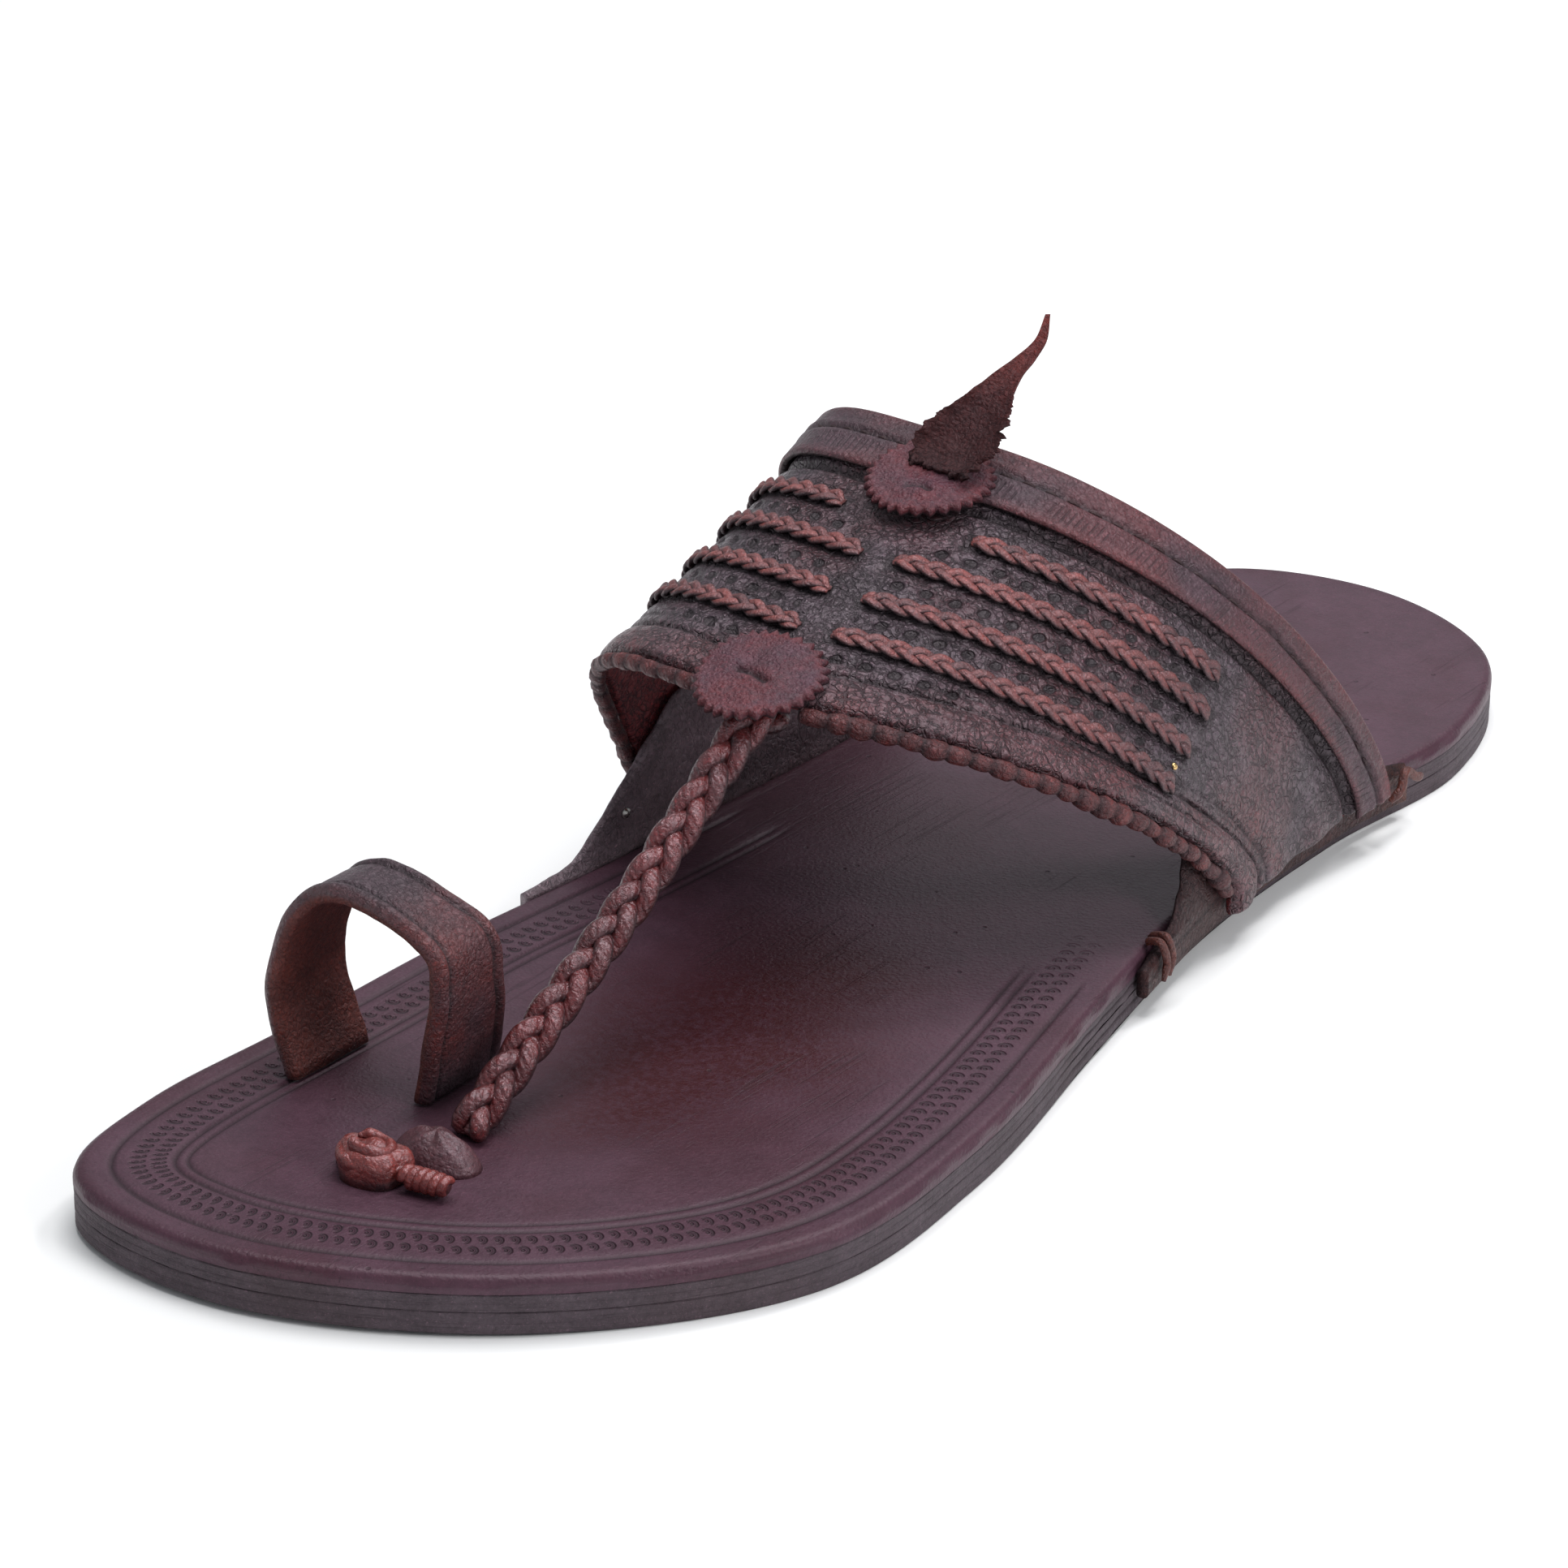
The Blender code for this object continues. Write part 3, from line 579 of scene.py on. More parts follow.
def make_footbed(material):
    """The top layer of the sole, with a rounded edge and the tooled grooves of its border."""
    round_edge = 1.5 * MM
    ladder = [0.0, 0.25, 0.6, 1.0, 1.5, 2.2, 3.0, 3.5, 3.8, 4.05, 4.2, 4.35, 4.6, 5.0, 5.8, 7.0, 8.2, 9.4,
              10.6, 11.4, 11.8, 12.05, 12.2, 12.35, 12.65, 13.1, 13.5, 13.85, 14.0, 14.15, 14.5, 15.1, 16.0]
    inward = [0.04, 0.10, 0.17, 0.25, 0.33, 0.42, 0.51, 0.60, 0.70, 0.80, 0.88]
    bottom = SOLE_HEIGHT - FOOTBED_THICK
    rows = [("under", 0.90), ("under", 0.5), ("under", 0.0), ("side", 0.05), ("side", 0.3), ("side", 0.6)]
    rows += [("top", distance * MM) for distance in ladder]
    rows += [("middle", share) for share in inward]

    def place(number, ring):
        kind, value = rows[ring]
        run = number / OUTLINE_POINTS
        edge = sole_outline(OUTLINE_POINTS)[number]
        distance, height = 0.0, SOLE_HEIGHT
        if kind == "under":
            point = toward_middle(edge, value)
            height = bottom
        elif kind == "side":
            point = edge
            height = bottom + (FOOTBED_THICK - round_edge) * value / 0.6
        elif kind == "top":
            distance = value
            point = inset_ring(distance)[number]
            fall = max(1 - distance / round_edge, 0.0)
            height -= round_edge * (1 - math.sqrt(1 - fall * fall)) * 0.98
        else:
            distance = 16 * MM
            point = toward_middle(inset_ring(distance)[number], value)
        border = window(run, BORDER_START, BORDER_END, 0.012)
        spot = Vector((point[0], point[1], 0.0))
        dirt_and_shade = 0.0
        for middle, width, depth in GROOVES:
            groove = bell(distance - middle, width) * border if kind == "top" else 0.0
            height -= groove * depth * (1 + 0.3 * rough(spot, 9 * MM, middle))
            dirt_and_shade = max(dirt_and_shade, groove * 0.75)
        if kind in ("top", "middle") and distance > 2 * MM:
            calm = max(1 - 1.6 * value, 0.0) if kind == "middle" else 1.0
            height += 0.16 * MM * rough(spot, 22 * MM) * calm - 0.10 * MM
        if kind == "side":
            point = point + outline_normals()[number] * 0.12 * MM * rough(spot, 5 * MM, 3.0)
        rub_and_painted_light = 0.0
        if kind == "top":
            rub_and_painted_light = 0.3 * bell(distance - 0.7 * MM, 1.1 * MM) * (0.5 + 0.5 * rough(spot, 12 * MM, 5.0))
        # Painted reflection: a deep red patch on the forefoot, given as rub, stands in for the band's dark
        # underside mirrored in the footbed's gloss.
        reflection_reach = math.hypot((point[0] + 4 * MM) / (24 * MM), (point[1] - 52 * MM) / (50 * MM))
        painted_reflection = smooth_step(1.25 - reflection_reach + 0.35 * rough(spot, 20 * MM, 8.0))
        painted_reflection *= smooth_step(distance / (14 * MM))
        tooled = kind != "side" and 0.1 < run < 0.9
        across = distance / MM if tooled else OFF_BORDER
        marks = (min(max(rub_and_painted_light, 0.0) + 0.9 * painted_reflection, 1.0), dirt_and_shade, 0.0, run * OUTLINE_RUN, across)
        return Vector((point[0], point[1], height + ground_lift(point[1]))), marks

    mesh = bmesh.new()
    add_rings(mesh, OUTLINE_POINTS, len(rows) - 1, place)
    return finish_piece("footbed_leather", mesh, material, "footbed", "footbed")


def make_layer(name, node, bottom, thick, material, seed):
    """One of the sole's lower layers, its cut edge a little uneven."""
    rows = [("under", 0.9), ("under", 0.0), ("side", 0.0), ("side", 0.06), ("side", 0.14), ("side", 0.3),
            ("side", 0.45), ("side", 0.5), ("side", 0.55), ("side", 0.7), ("side", 0.86), ("side", 0.94),
            ("side", 1.0), ("over", 0.0), ("over", 0.9)]
    soft = 0.18 * MM

    def place(number, ring):
        kind, value = rows[ring]
        edge = sole_outline(OUTLINE_POINTS)[number]
        out = outline_normals()[number]
        height = bottom if kind == "under" else bottom + thick
        point = edge
        dirt_and_shade = 0.0
        if kind == "side":
            height = bottom + thick * value
            near = min(value, 1 - value) * thick
            pull = soft * (1 - edge_fall(near, soft))
            spot = Vector((edge[0], edge[1], height))
            waist = window(edge[1] / LENGTH, -0.26, 0.07, 0.06)
            uneven = 0.07 * MM + 0.30 * MM * waist
            split = bell(value - 0.5, 0.05) * (0.10 * MM + 0.2 * MM * waist)
            point = edge - out * (pull + split + uneven * (0.5 + 0.5 * rough(spot, 3 * MM, seed)))
            dirt_and_shade = 0.12 * (1 - edge_fall(near, soft)) + bell(value - 0.5, 0.06) * (0.05 + 0.6 * waist)
        elif value == 0.0:
            point = edge - out * soft
        else:
            point = toward_middle(edge, value)
        along = abs(number / OUTLINE_POINTS - 0.5) * OUTLINE_RUN
        marks = (0.1, min(dirt_and_shade, 1.0), 0.0, along, height / MM)
        return Vector((point[0], point[1], height + ground_lift(point[1]))), marks

    mesh = bmesh.new()
    add_rings(mesh, OUTLINE_POINTS, len(rows) - 1, place)
    return finish_piece(name, mesh, material, "sole_edge", node)


def row_share(number, turn):
    """The place of a row of plaits at a turn, from the band's front edge to its rear edge."""
    row = PLAIT_ROWS[number]
    if turn > 0:
        return row["share"]
    start, end = row["outer"]
    along = clip((turn - start) / (end - start))
    return row["share"] - row["drift"] * along * along


def hole_place(turn, share):
    """Where a place of the band lies in the nearest row of punched holes, in millimetres."""
    side = "inner" if turn > 0 else "outer"
    depth = band_depth(round(turn, 3)) / MM
    rows = [row_share(number, turn) for number in range(len(PLAIT_ROWS))]
    middles = [rows[0] - 0.075] + [(front + rear) / 2 for front, rear in zip(rows, rows[1:])]
    ends = [0.30] + [0.60 if side == "outer" else 0.66] * (len(middles) - 1)
    across, number = min((abs(share - middle) * depth, number) for number, middle in enumerate(middles))
    around = abs(turn) * band_reach(side, round(share, 2)) / MM + HOLE_PITCH / 2 * (number % 2)
    if not 0.05 < abs(turn) < ends[number]:
        across = OFF_ROWS
    return around, across


def band_relief(turn, share):
    """How the band's face rises and dips off its plain form, and how dark and how rubbed it is there."""
    depth = band_depth(round(turn, 3))
    behind = share * depth
    spot, _ = band_frame(turn, share)
    wave = 0.7 * MM * rough(spot, 16 * MM, 4.0)
    height = 0.0
    dirt_and_shade = 0.0
    rub_and_painted_light = 0.0
    # The folded front border with its two creases
    fold = behind / (8 * MM)
    if fold < 1:
        height += 0.55 * MM * math.sin(math.pi * min(fold + 0.12, 1.0)) ** 0.7
    crease = bell(behind - 7.6 * MM - wave, 0.42 * MM) * (0.75 + 0.5 * rough(spot, 9 * MM, 17.0))
    fine = bell(behind - 4.4 * MM - 1.3 * wave, 0.35 * MM) * smooth_step(0.5 + rough(spot, 20 * MM, 7.0))
    third = bell(behind - 10.2 * MM + 1.2 * wave, 0.40 * MM)
    third *= smooth_step(0.4 + 1.5 * rough(spot, 16 * MM, 19.0))
    height -= 0.75 * MM * crease + 0.35 * MM * fine + 0.40 * MM * third
    # Painted shade: the creases are darkened as well as sunk.
    dirt_and_shade += 0.95 * crease + 0.5 * fine + 0.6 * third
    rub_and_painted_light += 0.75 * smooth_step(1.45 - fold) * (0.55 + 0.6 * rough(spot, 7 * MM, 9.0))
    # The channel in front of the collar strip, sunk and darkened with painted shade
    channel = bell(behind - (COLLAR_START - 0.020) * depth, 1.0 * MM)
    height -= 1.25 * MM * channel
    dirt_and_shade += 1.0 * channel
    # Seats of the plaits darkened with painted shadow, and the leather drawn up between them
    for number, row in enumerate(PLAIT_ROWS):
        start, end = row["inner" if turn > 0 else "outer"]
        if min(abs(start), abs(end)) - 0.01 < abs(turn) < max(abs(start), abs(end)) + 0.01:
            off = abs(share - row_share(number, turn)) * depth
            dirt_and_shade += 0.9 * smooth_step((2.3 * MM - off) / (0.7 * MM))
            height -= 0.25 * MM * bell(off - 2.0 * MM, 0.8 * MM)
    around, across = hole_place(turn, share)
    near = math.hypot(around % HOLE_PITCH - HOLE_PITCH / 2, across) / HOLE_RADIUS
    if near < 1:
        height -= HOLE_DEPTH * (1 - near * near)
    # Creases that fan out where the band is drawn down to the sole, with painted shade in their troughs
    low = smooth_step((abs(turn) - 0.70) / 0.25)
    fan = math.sin(26 * share + 5 * rough(spot, 24 * MM, 1.0))
    height += low * 0.30 * MM * fan
    dirt_and_shade += low * 0.25 * max(-fan, 0.0)
    if turn < 0:
        reddened = bell(share - 0.27, 0.09) * smooth_step((abs(turn) - 0.72) / 0.2)
        rub_and_painted_light += 0.8 * reddened * (0.6 + rough(spot, 4 * MM))
    height += 0.30 * MM * rough(spot, 11 * MM) + 0.16 * MM * rough(spot, 3.5 * MM)
    rub_and_painted_light += 0.35 * max(rough(spot, 14 * MM, 12.0), 0.0)
    return height, min(dirt_and_shade, 1.0), clip(rub_and_painted_light), around, across


def make_band(material):
    """The instep band: one wall of leather over the foot, folded at its front edge."""
    columns, rows = 300, 150
    knots = (
        # share of the rows, place from the front edge to the rear edge
        (0.0, 0.0), (0.03, 0.006), (0.33, 0.175), (0.72, 0.735), (0.90, 0.815), (0.97, 0.992), (1.0, 1.0),
    )

    def place(a, b, layer):
        share = round(spread_rows(b, knots), 5)
        hem = band_hem(share)
        turn = round(hem * (2 * a - 1), 5)
        depth = band_depth(round(turn, 3))
        edge = min(share, 1 - share) * depth
        low = (hem - abs(turn)) * SOLE_HEIGHT
        keep = edge_fall(min(edge, low), 1.1 * MM)
        height, dirt_and_shade, rub_and_painted_light, around, across = band_relief(turn, share)
        if layer > 0.5:
            out = -BAND_WALL / 2 + BAND_WALL / 2 * keep + height * smooth_step(edge / (0.8 * MM))
            return on_band(turn, share, out), (rub_and_painted_light, dirt_and_shade, 0.0, around, across)
        out = -BAND_WALL / 2 - BAND_WALL / 2 * keep
        return on_band(turn, share, out), (0.0, 0.0, 1.0, 0.0, OFF_ROWS)

    return sheet_piece("band_leather", material, columns, rows, place, "band", "upper_band")


def make_collar(material):
    """The strip along the rear edge, stitched down along its middle."""
    columns, rows = 300, 26
    stitch_row = 0.56

    def place(a, b, layer):
        across = crowd(b, 0.5)
        share = round(COLLAR_START + (1 - COLLAR_START) * across, 5)
        hem = band_hem(share)
        turn = round(hem * (2 * a - 1), 5)
        width = (1 - COLLAR_START) * band_depth(round(turn, 3))
        edge = min(across, 1 - across) * width
        low = (hem - abs(turn)) * SOLE_HEIGHT
        keep = edge_fall(min(edge, low), 0.7 * MM)
        spot, _ = band_frame(turn, share)
        off = (across - stitch_row) * width - 0.35 * MM * rough(spot, 9 * MM, 2.0)
        line = bell(off, 0.42 * MM)
        middle = FIT_GAP + COLLAR_THICK / 2
        around = abs(turn) * band_reach("inner" if turn > 0 else "outer", 0.9) / MM
        if layer < 0.5:
            under = on_band(turn, share, middle - COLLAR_THICK / 2 * keep)
            return under, (0.0, 0.6, 1.0, around, -OFF_ROWS)
        height = 0.30 * MM * bell(off - 1.1 * MM, 0.7 * MM) + 0.2 * MM * bell(off + 1.2 * MM, 0.7 * MM)
        height += 0.14 * MM * rough(spot, 6 * MM) + 0.08 * MM * rough(spot, 2.5 * MM, 5.0)
        height -= 0.62 * MM * line
        rub_and_painted_light = 0.75 * bell(edge, 1.5 * MM) * (0.5 + 0.7 * rough(spot, 9 * MM, 8.0))
        rub_and_painted_light += 0.5 * smooth_step((across - stitch_row) / 0.1) * max(0.35 + rough(spot, 17 * MM, 3.0), 0.0)
        marks = (clip(rub_and_painted_light), 0.95 * line, 0.0, around, off / MM)
        return on_band(turn, share, middle + COLLAR_THICK / 2 * keep + height * smooth_step(edge / MM)), marks

    return sheet_piece("collar_leather", material, columns, rows, place, "strap", "collar_strip")


def make_ear(side, material):
    """A leather ear against the sole's side and up inside the band."""
    rows = np.array(EAR_TOPS[side])
    sign = 1 if side == "inner" else -1
    hem = 2 - EAR_HEM / SOLE_HEIGHT
    middle_out = -BAND_WALL - FIT_GAP - EAR_WALL / 2

    def place(a, b, layer):
        share = round(rows[0, 0] + (rows[-1, 0] - rows[0, 0]) * crowd(a, 0.3), 5)
        height = float(np.interp(share, rows[:, 0], rows[:, 1])) * EAR_HEIGHT
        spot = band_face(sign, share)
        height += 0.35 * MM * rough(spot, 3.0 * MM, 6.0)
        top = turn_at_height(side, share, height)
        up = crowd(b, 0.45)
        turn = round(hem + (top - hem) * up, 5)
        span = abs(hem - top) * SOLE_HEIGHT
        edge = min(up, 1 - up) * max(span, 3 * MM)
        keep = edge_fall(edge, 0.6 * MM)
        face = layer * 2 - 1
        point = on_band(sign * turn, share, middle_out + face * EAR_WALL / 2 * keep)
        line = bell((1 - up) * span - 2.4 * MM, 0.4 * MM)
        fray = 0.4 * bell(edge, 0.6 * MM)
        ends = bell(share - rows[-1, 0], 0.10) + bell(share - rows[0, 0], 0.04)
        rub_and_painted_light = 0.12 + (0.45 * ends * max(0.6 + rough(spot, 2.5 * MM, 9.0), 0.0) if side == "outer" else 0.0)
        inner_face = 1.0 if layer < 0.5 and side == "outer" else 0.0
        marks = (rub_and_painted_light, min(0.6 * line + fray, 1.0), inner_face, share * 60, up * span / MM)
        return point, marks

    return sheet_piece("ear_leather_" + side, material, 110, 30, place, "strap", "ear_" + side)


def make_roll(side, material):
    """The roll along the band's front edge, gathered in uneven beads on the outer side."""
    sign = 1 if side == "inner" else -1
    start, end = sign * ROLL_CREST_GAP, sign * 1.0
    length = band_reach(side, 0.0) * (1 - ROLL_CREST_GAP)
    beads = round(length / ROLL_BEAD)
    gather = 0.34 if side == "outer" else 0.14

    @lru_cache(maxsize=None)
    def ring(along):
        turn = round(start + (end - start) * along, 5)
        round_, back = band_slopes(turn, 0.0)
        out = back.cross(round_).normalized()
        forward = out.cross(round_).normalized()
        bead = along * beads + 0.35 * wobble(along * beads * 0.45, 9.0, 2.0)
        size = 0.96 + 0.34 * wobble(int(bead) * 1.7, 3.1, 0.4)
        swell = math.sqrt(abs(math.sin(math.pi * bead)))
        radius = ROLL_RADIUS * (1 - gather + gather * swell) * (size if side == "outer" else 0.82)
        middle = on_band(turn, 0.0, -BAND_WALL / 2) + forward * (ROLL_RADIUS * 0.75 + 0.2 * MM * swell)
        middle += out * 0.35 * MM * wobble(bead * 0.6, 0.0, 7.0)
        return middle, out, forward, radius, swell

    def place(angle, along):
        middle, out, forward, radius, swell = ring(along)
        spot = middle + (out * math.sin(angle) * 1.05 + forward * math.cos(angle) * 0.95) * radius
        uneven = 0.16 * MM * rough(spot, 1.3 * MM) + 0.2 * MM * rough(spot, 4 * MM)
        spot += (spot - middle).normalized() * uneven
        rub_and_painted_light = (0.35 + 0.65 * swell) * (0.6 + 0.6 * rough(spot, 6 * MM, 3.0))
        # Painted shade: the gaps between the beads are darkened.
        return spot, (clip(rub_and_painted_light), 0.9 * (1 - swell), 0.0, along * length / MM, angle)

    name = "edge_roll_leather_" + side
    return tube_piece(name, material, 14, 10 * beads, place, "trim", "edge_roll_" + side)


def add_plait(mesh, path, length, swing, lift, half_width, half_thick, period, fade=0.0, rings_each=22,
              sides=10):
    """Adds a plait of three flat strands. path gives its middle, its side and its outward direction."""
    turns = length / period
    for strand in range(3):

        @lru_cache(maxsize=None)
        def middle(along, strand=strand):
            spot, side, out = path(along)
            phase = 2 * math.pi * (along * turns + strand / 3)
            tuck = smooth_step(min(along, 1 - along) * length / (1.6 * MM))
            rise = lift * math.sin(2 * phase) * tuck
            return spot + side * swing * math.sin(phase) * (0.45 + 0.55 * tuck) + out * rise, out, tuck

        @lru_cache(maxsize=None)
        def ring(along, middle=middle):
            spot, out, tuck = middle(along)
            ahead = (middle(min(along + 0.004, 1.0))[0] - middle(max(along - 0.004, 0.0))[0]).normalized()
            side = ahead.cross(out).normalized()
            return spot, side, side.cross(ahead), 0.55 + 0.45 * tuck

        def place(angle, along, strand=strand, ring=ring):
            spot, side, up, size = ring(along)
            flat = math.copysign(abs(math.cos(angle)) ** 0.8, math.cos(angle))
            point = spot + (side * flat * half_width + up * math.sin(angle) * half_thick) * size
            # Painted light: each strand's top is reddened more, partly as wear and partly as a painted
            # highlight; its sides and underside are darkened as painted shade.
            edge = abs(math.cos(angle)) ** 3
            uneven = noise.noise(spot / (6 * MM) + Vector((strand * 3.3, 0, 0)))
            rub_and_painted_light = 0.55 + 0.8 * uneven + 0.3 * math.sin(angle)
            rub_and_painted_light *= 1 - fade * along
            under = max(-math.sin(angle), 0.0)
            marks = (clip(rub_and_painted_light), min(0.9 * edge + 0.5 * under, 1.0), 0.0, along * length / MM, math.cos(angle))
            return point, marks

        add_tube(mesh, sides, round(turns * rings_each), place)


def make_plait(side, number, material):
    """One flat plait sewn on the band, from near the crest down one side."""
    start, end = PLAIT_ROWS[number][side]
    length = band_reach(side, PLAIT_ROWS[number]["share"]) * abs(end - start)
    half_thick = 0.25 * PLAIT_THICK

    def at(along):
        turn = start + (end - start) * along
        return on_band(round(turn, 4), round(row_share(number, turn), 4), PLAIT_THICK * 0.37)

    def path(along):
        turn = round(start + (end - start) * along, 4)
        _, out = band_frame(turn, round(row_share(number, turn), 4))
        ahead = (at(min(along + 0.01, 1.0)) - at(max(along - 0.01, 0.0))).normalized()
        tuck = 1 - smooth_step(min(along, 1 - along) * length / (1.4 * MM))
        return at(along) - out * 0.55 * MM * tuck, ahead.cross(out).normalized(), out

    mesh = bmesh.new()
    add_plait(mesh, path, length, 0.27 * PLAIT_WIDTH, 0.19 * PLAIT_THICK, 0.195 * PLAIT_WIDTH, half_thick,
              PLAIT_PERIOD, fade=0.6)
    name = "%s_%d" % (side, number + 1)
    return finish_piece("plait_" + name, mesh, material, "braid", "braid_" + name)


def cord_points():
    """The toe strap's middle, from under the front rosette to the footbed."""
    crest = band_face(0.0, 0.0)
    top = crest + Vector((0, FIT_GAP + CORD_TOP_AHEAD, CORD_TOP_RISE - BAND_WALL - CORD_RADIUS))
    across, along = CORD_FOOT[0] * BALL_WIDTH, CORD_FOOT[1] * LENGTH
    foot = Vector((across, along, footbed_top(along) + FIT_GAP))
    near_foot = foot + Vector((0, *CORD_FOOT_BEND))
    middle = (top + near_foot) / 2 - Vector((0, 0, CORD_SAG))
    under = top - Vector((0, CORD_TUCK, 0.9 * CORD_TOP_RISE))
    return [tuple(point) for point in (under, top, (top + middle) / 2, middle, near_foot, foot)]


def make_cord(material):
    """The plaited toe strap, three round strands that cross over each other."""
    line = even_steps(curve_through(cord_points(), steps=40), 241)
    length = float(np.linalg.norm(np.diff(line, axis=0), axis=1).sum())

    def path(along):
        place = clip(along) * 240
        step = min(int(place), 239)
        spot = Vector(line[step] + (line[step + 1] - line[step]) * (place - step))
        ahead = Vector(line[min(step + 8, 240)] - line[max(step - 8, 0)]).normalized()
        out = Vector((-0.45, 0.35, 0.82))
        out = (out - ahead * out.dot(ahead)).normalized()
        return spot, ahead.cross(out).normalized(), out

    mesh = bmesh.new()
    add_plait(mesh, path, length, 0.54 * CORD_RADIUS, 0.36 * CORD_RADIUS, 0.45 * CORD_RADIUS,
              0.44 * CORD_RADIUS, CORD_PERIOD, rings_each=40, sides=16)
    return finish_piece("toe_cord_plait", mesh, material, "trim", "toe_cord")


def make_rosette(name, node, size, share, aside, lift, tilt, slit, material, seed):
    """A pinked leather disc, dented in its middle, with a slit where the strap's end is drawn through."""
    levels = (
        # share of the radius, height as a share of the thickness
        (0.02, 0.0), (0.50, 0.0), (0.97, 0.05), (1.00, 0.25), (1.00, 0.60), (0.985, 0.85), (0.95, 0.95),
        (0.90, 0.98), (0.84, 0.96), (0.77, 0.94), (0.70, 0.95), (0.62, 0.98), (0.54, 1.00), (0.46, 0.99),
        (0.38, 0.96), (0.31, 0.91), (0.24, 0.85), (0.17, 0.80), (0.11, 0.77), (0.05, 0.76),
    )
    start, end = Vector(slit[0]), Vector(slit[1])

    def place(angle, ring):
        radius, height = levels[round(ring * (len(levels) - 1))]
        tooth = abs((ROSETTE_TEETH * angle / (2 * math.pi)) % 1 - 0.5) * 2
        reach = radius * size
        uneven = 1 + 0.12 * wobble(math.cos(angle) * 2, math.sin(angle) * 2, seed)
        reach += (tooth - 0.6) * ROSETTE_TOOTH * smooth_step((radius - 0.84) / 0.14) * uneven
        across, back = reach * math.cos(angle), reach * math.sin(angle)
        flat = Vector((across, back))
        span = end - start
        along = clip((flat - start).dot(span) / span.length_squared)
        bow = span.orthogonal().normalized() * 0.8 * MM * math.sin(math.pi * along)
        gap = (flat - start - span * along - bow).length
        top = 1.0 if height > 0.5 else 0.0
        cut = bell(gap, 0.55 * MM) * top
        lip = bell(gap - 1.3 * MM, 0.8 * MM) * top
        spot = Vector((across, back, seed * MM))
        wave = 0.22 * MM * rough(spot, 5.5 * MM, seed) + 0.10 * MM * rough(spot, 2 * MM, seed)
        rise = ROSETTE_THICK * height + top * (wave + 0.25 * MM * lip) - 0.55 * MM * cut
        rub_and_painted_light = 0.55 + 0.5 * rough(spot, 5 * MM, seed + 2) + 0.4 * smooth_step((radius - 0.85) / 0.1)
        # Painted shade: the slit and the disc's underside are darkened.
        dirt_and_shade = 0.95 * cut + 0.8 * (1 - top) + 0.35 * bell(radius - 0.97, 0.03)
        lifted = lift + rise + tilt * back
        return on_band_near(share, across + aside, back, lifted), (clip(rub_and_painted_light), min(dirt_and_shade, 1.0), 0, 0, radius)

    return tube_piece(name, material, ROSETTE_TEETH * 8, len(levels) - 1, place, "trim", node)


def make_leaf(material):
    """The curled leaf, rough and ragged at its root and drawn out to a point."""
    root = on_band_near(REAR_ROSETTE_SHARE, 0, 0, REAR_ROSETTE_LIFT + ROSETTE_THICK * 1.1 + FIT_GAP)

    def place(a, b, layer):
        side, back, up, width, turn = on_curve(LEAF_ROWS, a)
        ahead = on_curve(LEAF_ROWS, min(a + 0.02, 1)) - on_curve(LEAF_ROWS, max(a - 0.02, 0))
        run = Vector((ahead[0], -ahead[1], ahead[2])).normalized()
        over = Vector((math.cos(math.radians(turn)), math.sin(math.radians(turn)), 0))
        face = run.cross(over).normalized()
        across = crowd(b, 0.3)
        half = width * LEAF_WIDTH / 2
        edge = 2 * across - 1
        torn = smooth_step((0.55 - a) / 0.3)
        ragged = (0.9 * wobble(a * 26, edge, 1.5) + 0.6 * wobble(a * 90, edge, 4.0)) * MM
        reach = edge * half + ragged * torn * abs(edge) ** 3 * (0.8 if edge > 0 else 1.7)
        cup = edge * edge * width * LEAF_WIDTH * LEAF_CUP * smooth_step(0.2 + 3.0 * a)
        thick = LEAF_WALL * (0.35 + 0.65 * math.sqrt(max(1 - edge * edge, 0.0))) * (1 - 0.35 * a)
        spine = root + Vector((side, -back, up)) * LEAF_LENGTH
        point = spine + over * reach + face * (cup + LEAF_WALL / 2 + (layer - 0.5) * thick)
        point += face * 0.5 * MM * rough(point, 2.6 * MM) * (1 - a)
        point -= run * 1.6 * MM * max(wobble(edge * 9, 3.0, 6.0), -0.5) * smooth_step(1 - a / 0.12)
        rub_and_painted_light = 0.25 + 0.75 * smooth_step((a - 0.35) / 0.3) + 0.3 * abs(edge) ** 4
        return point, (min(rub_and_painted_light, 1.0), 0.5 * (1 - a), 0.6 * (1 - a), a * 30, edge)

    return sheet_piece("curled_leaf_leather", material, 130, 30, place, "trim", "curled_leaf")


def loop_section(along):
    """The toe loop's outer face at a share of its way: across, height, back edge and front edge."""
    across, height, back, front = on_curve(LOOP_ROWS, along)
    return np.array([across * BALL_WIDTH, height * LOOP_HEIGHT, back * LENGTH, front * LENGTH])


def loop_point(along, across, out):
    """A point of the toe loop: across from its back edge to its front edge, out of its outer face."""
    seat = footbed_top(LOOP_ROWS[0][3] * LENGTH) + FIT_GAP
    here = loop_section(along)
    run = loop_section(min(along + 0.01, 1.0)) - loop_section(max(along - 0.01, 0.0))
    normal = Vector((run[1], 0, -run[0])).normalized()
    if along in (0, 1):
        normal = Vector((1 if along == 0 else -1, 0, 0))
    spot = Vector((here[0], here[2] + (here[3] - here[2]) * across, seat + here[1]))
    return spot + normal * out


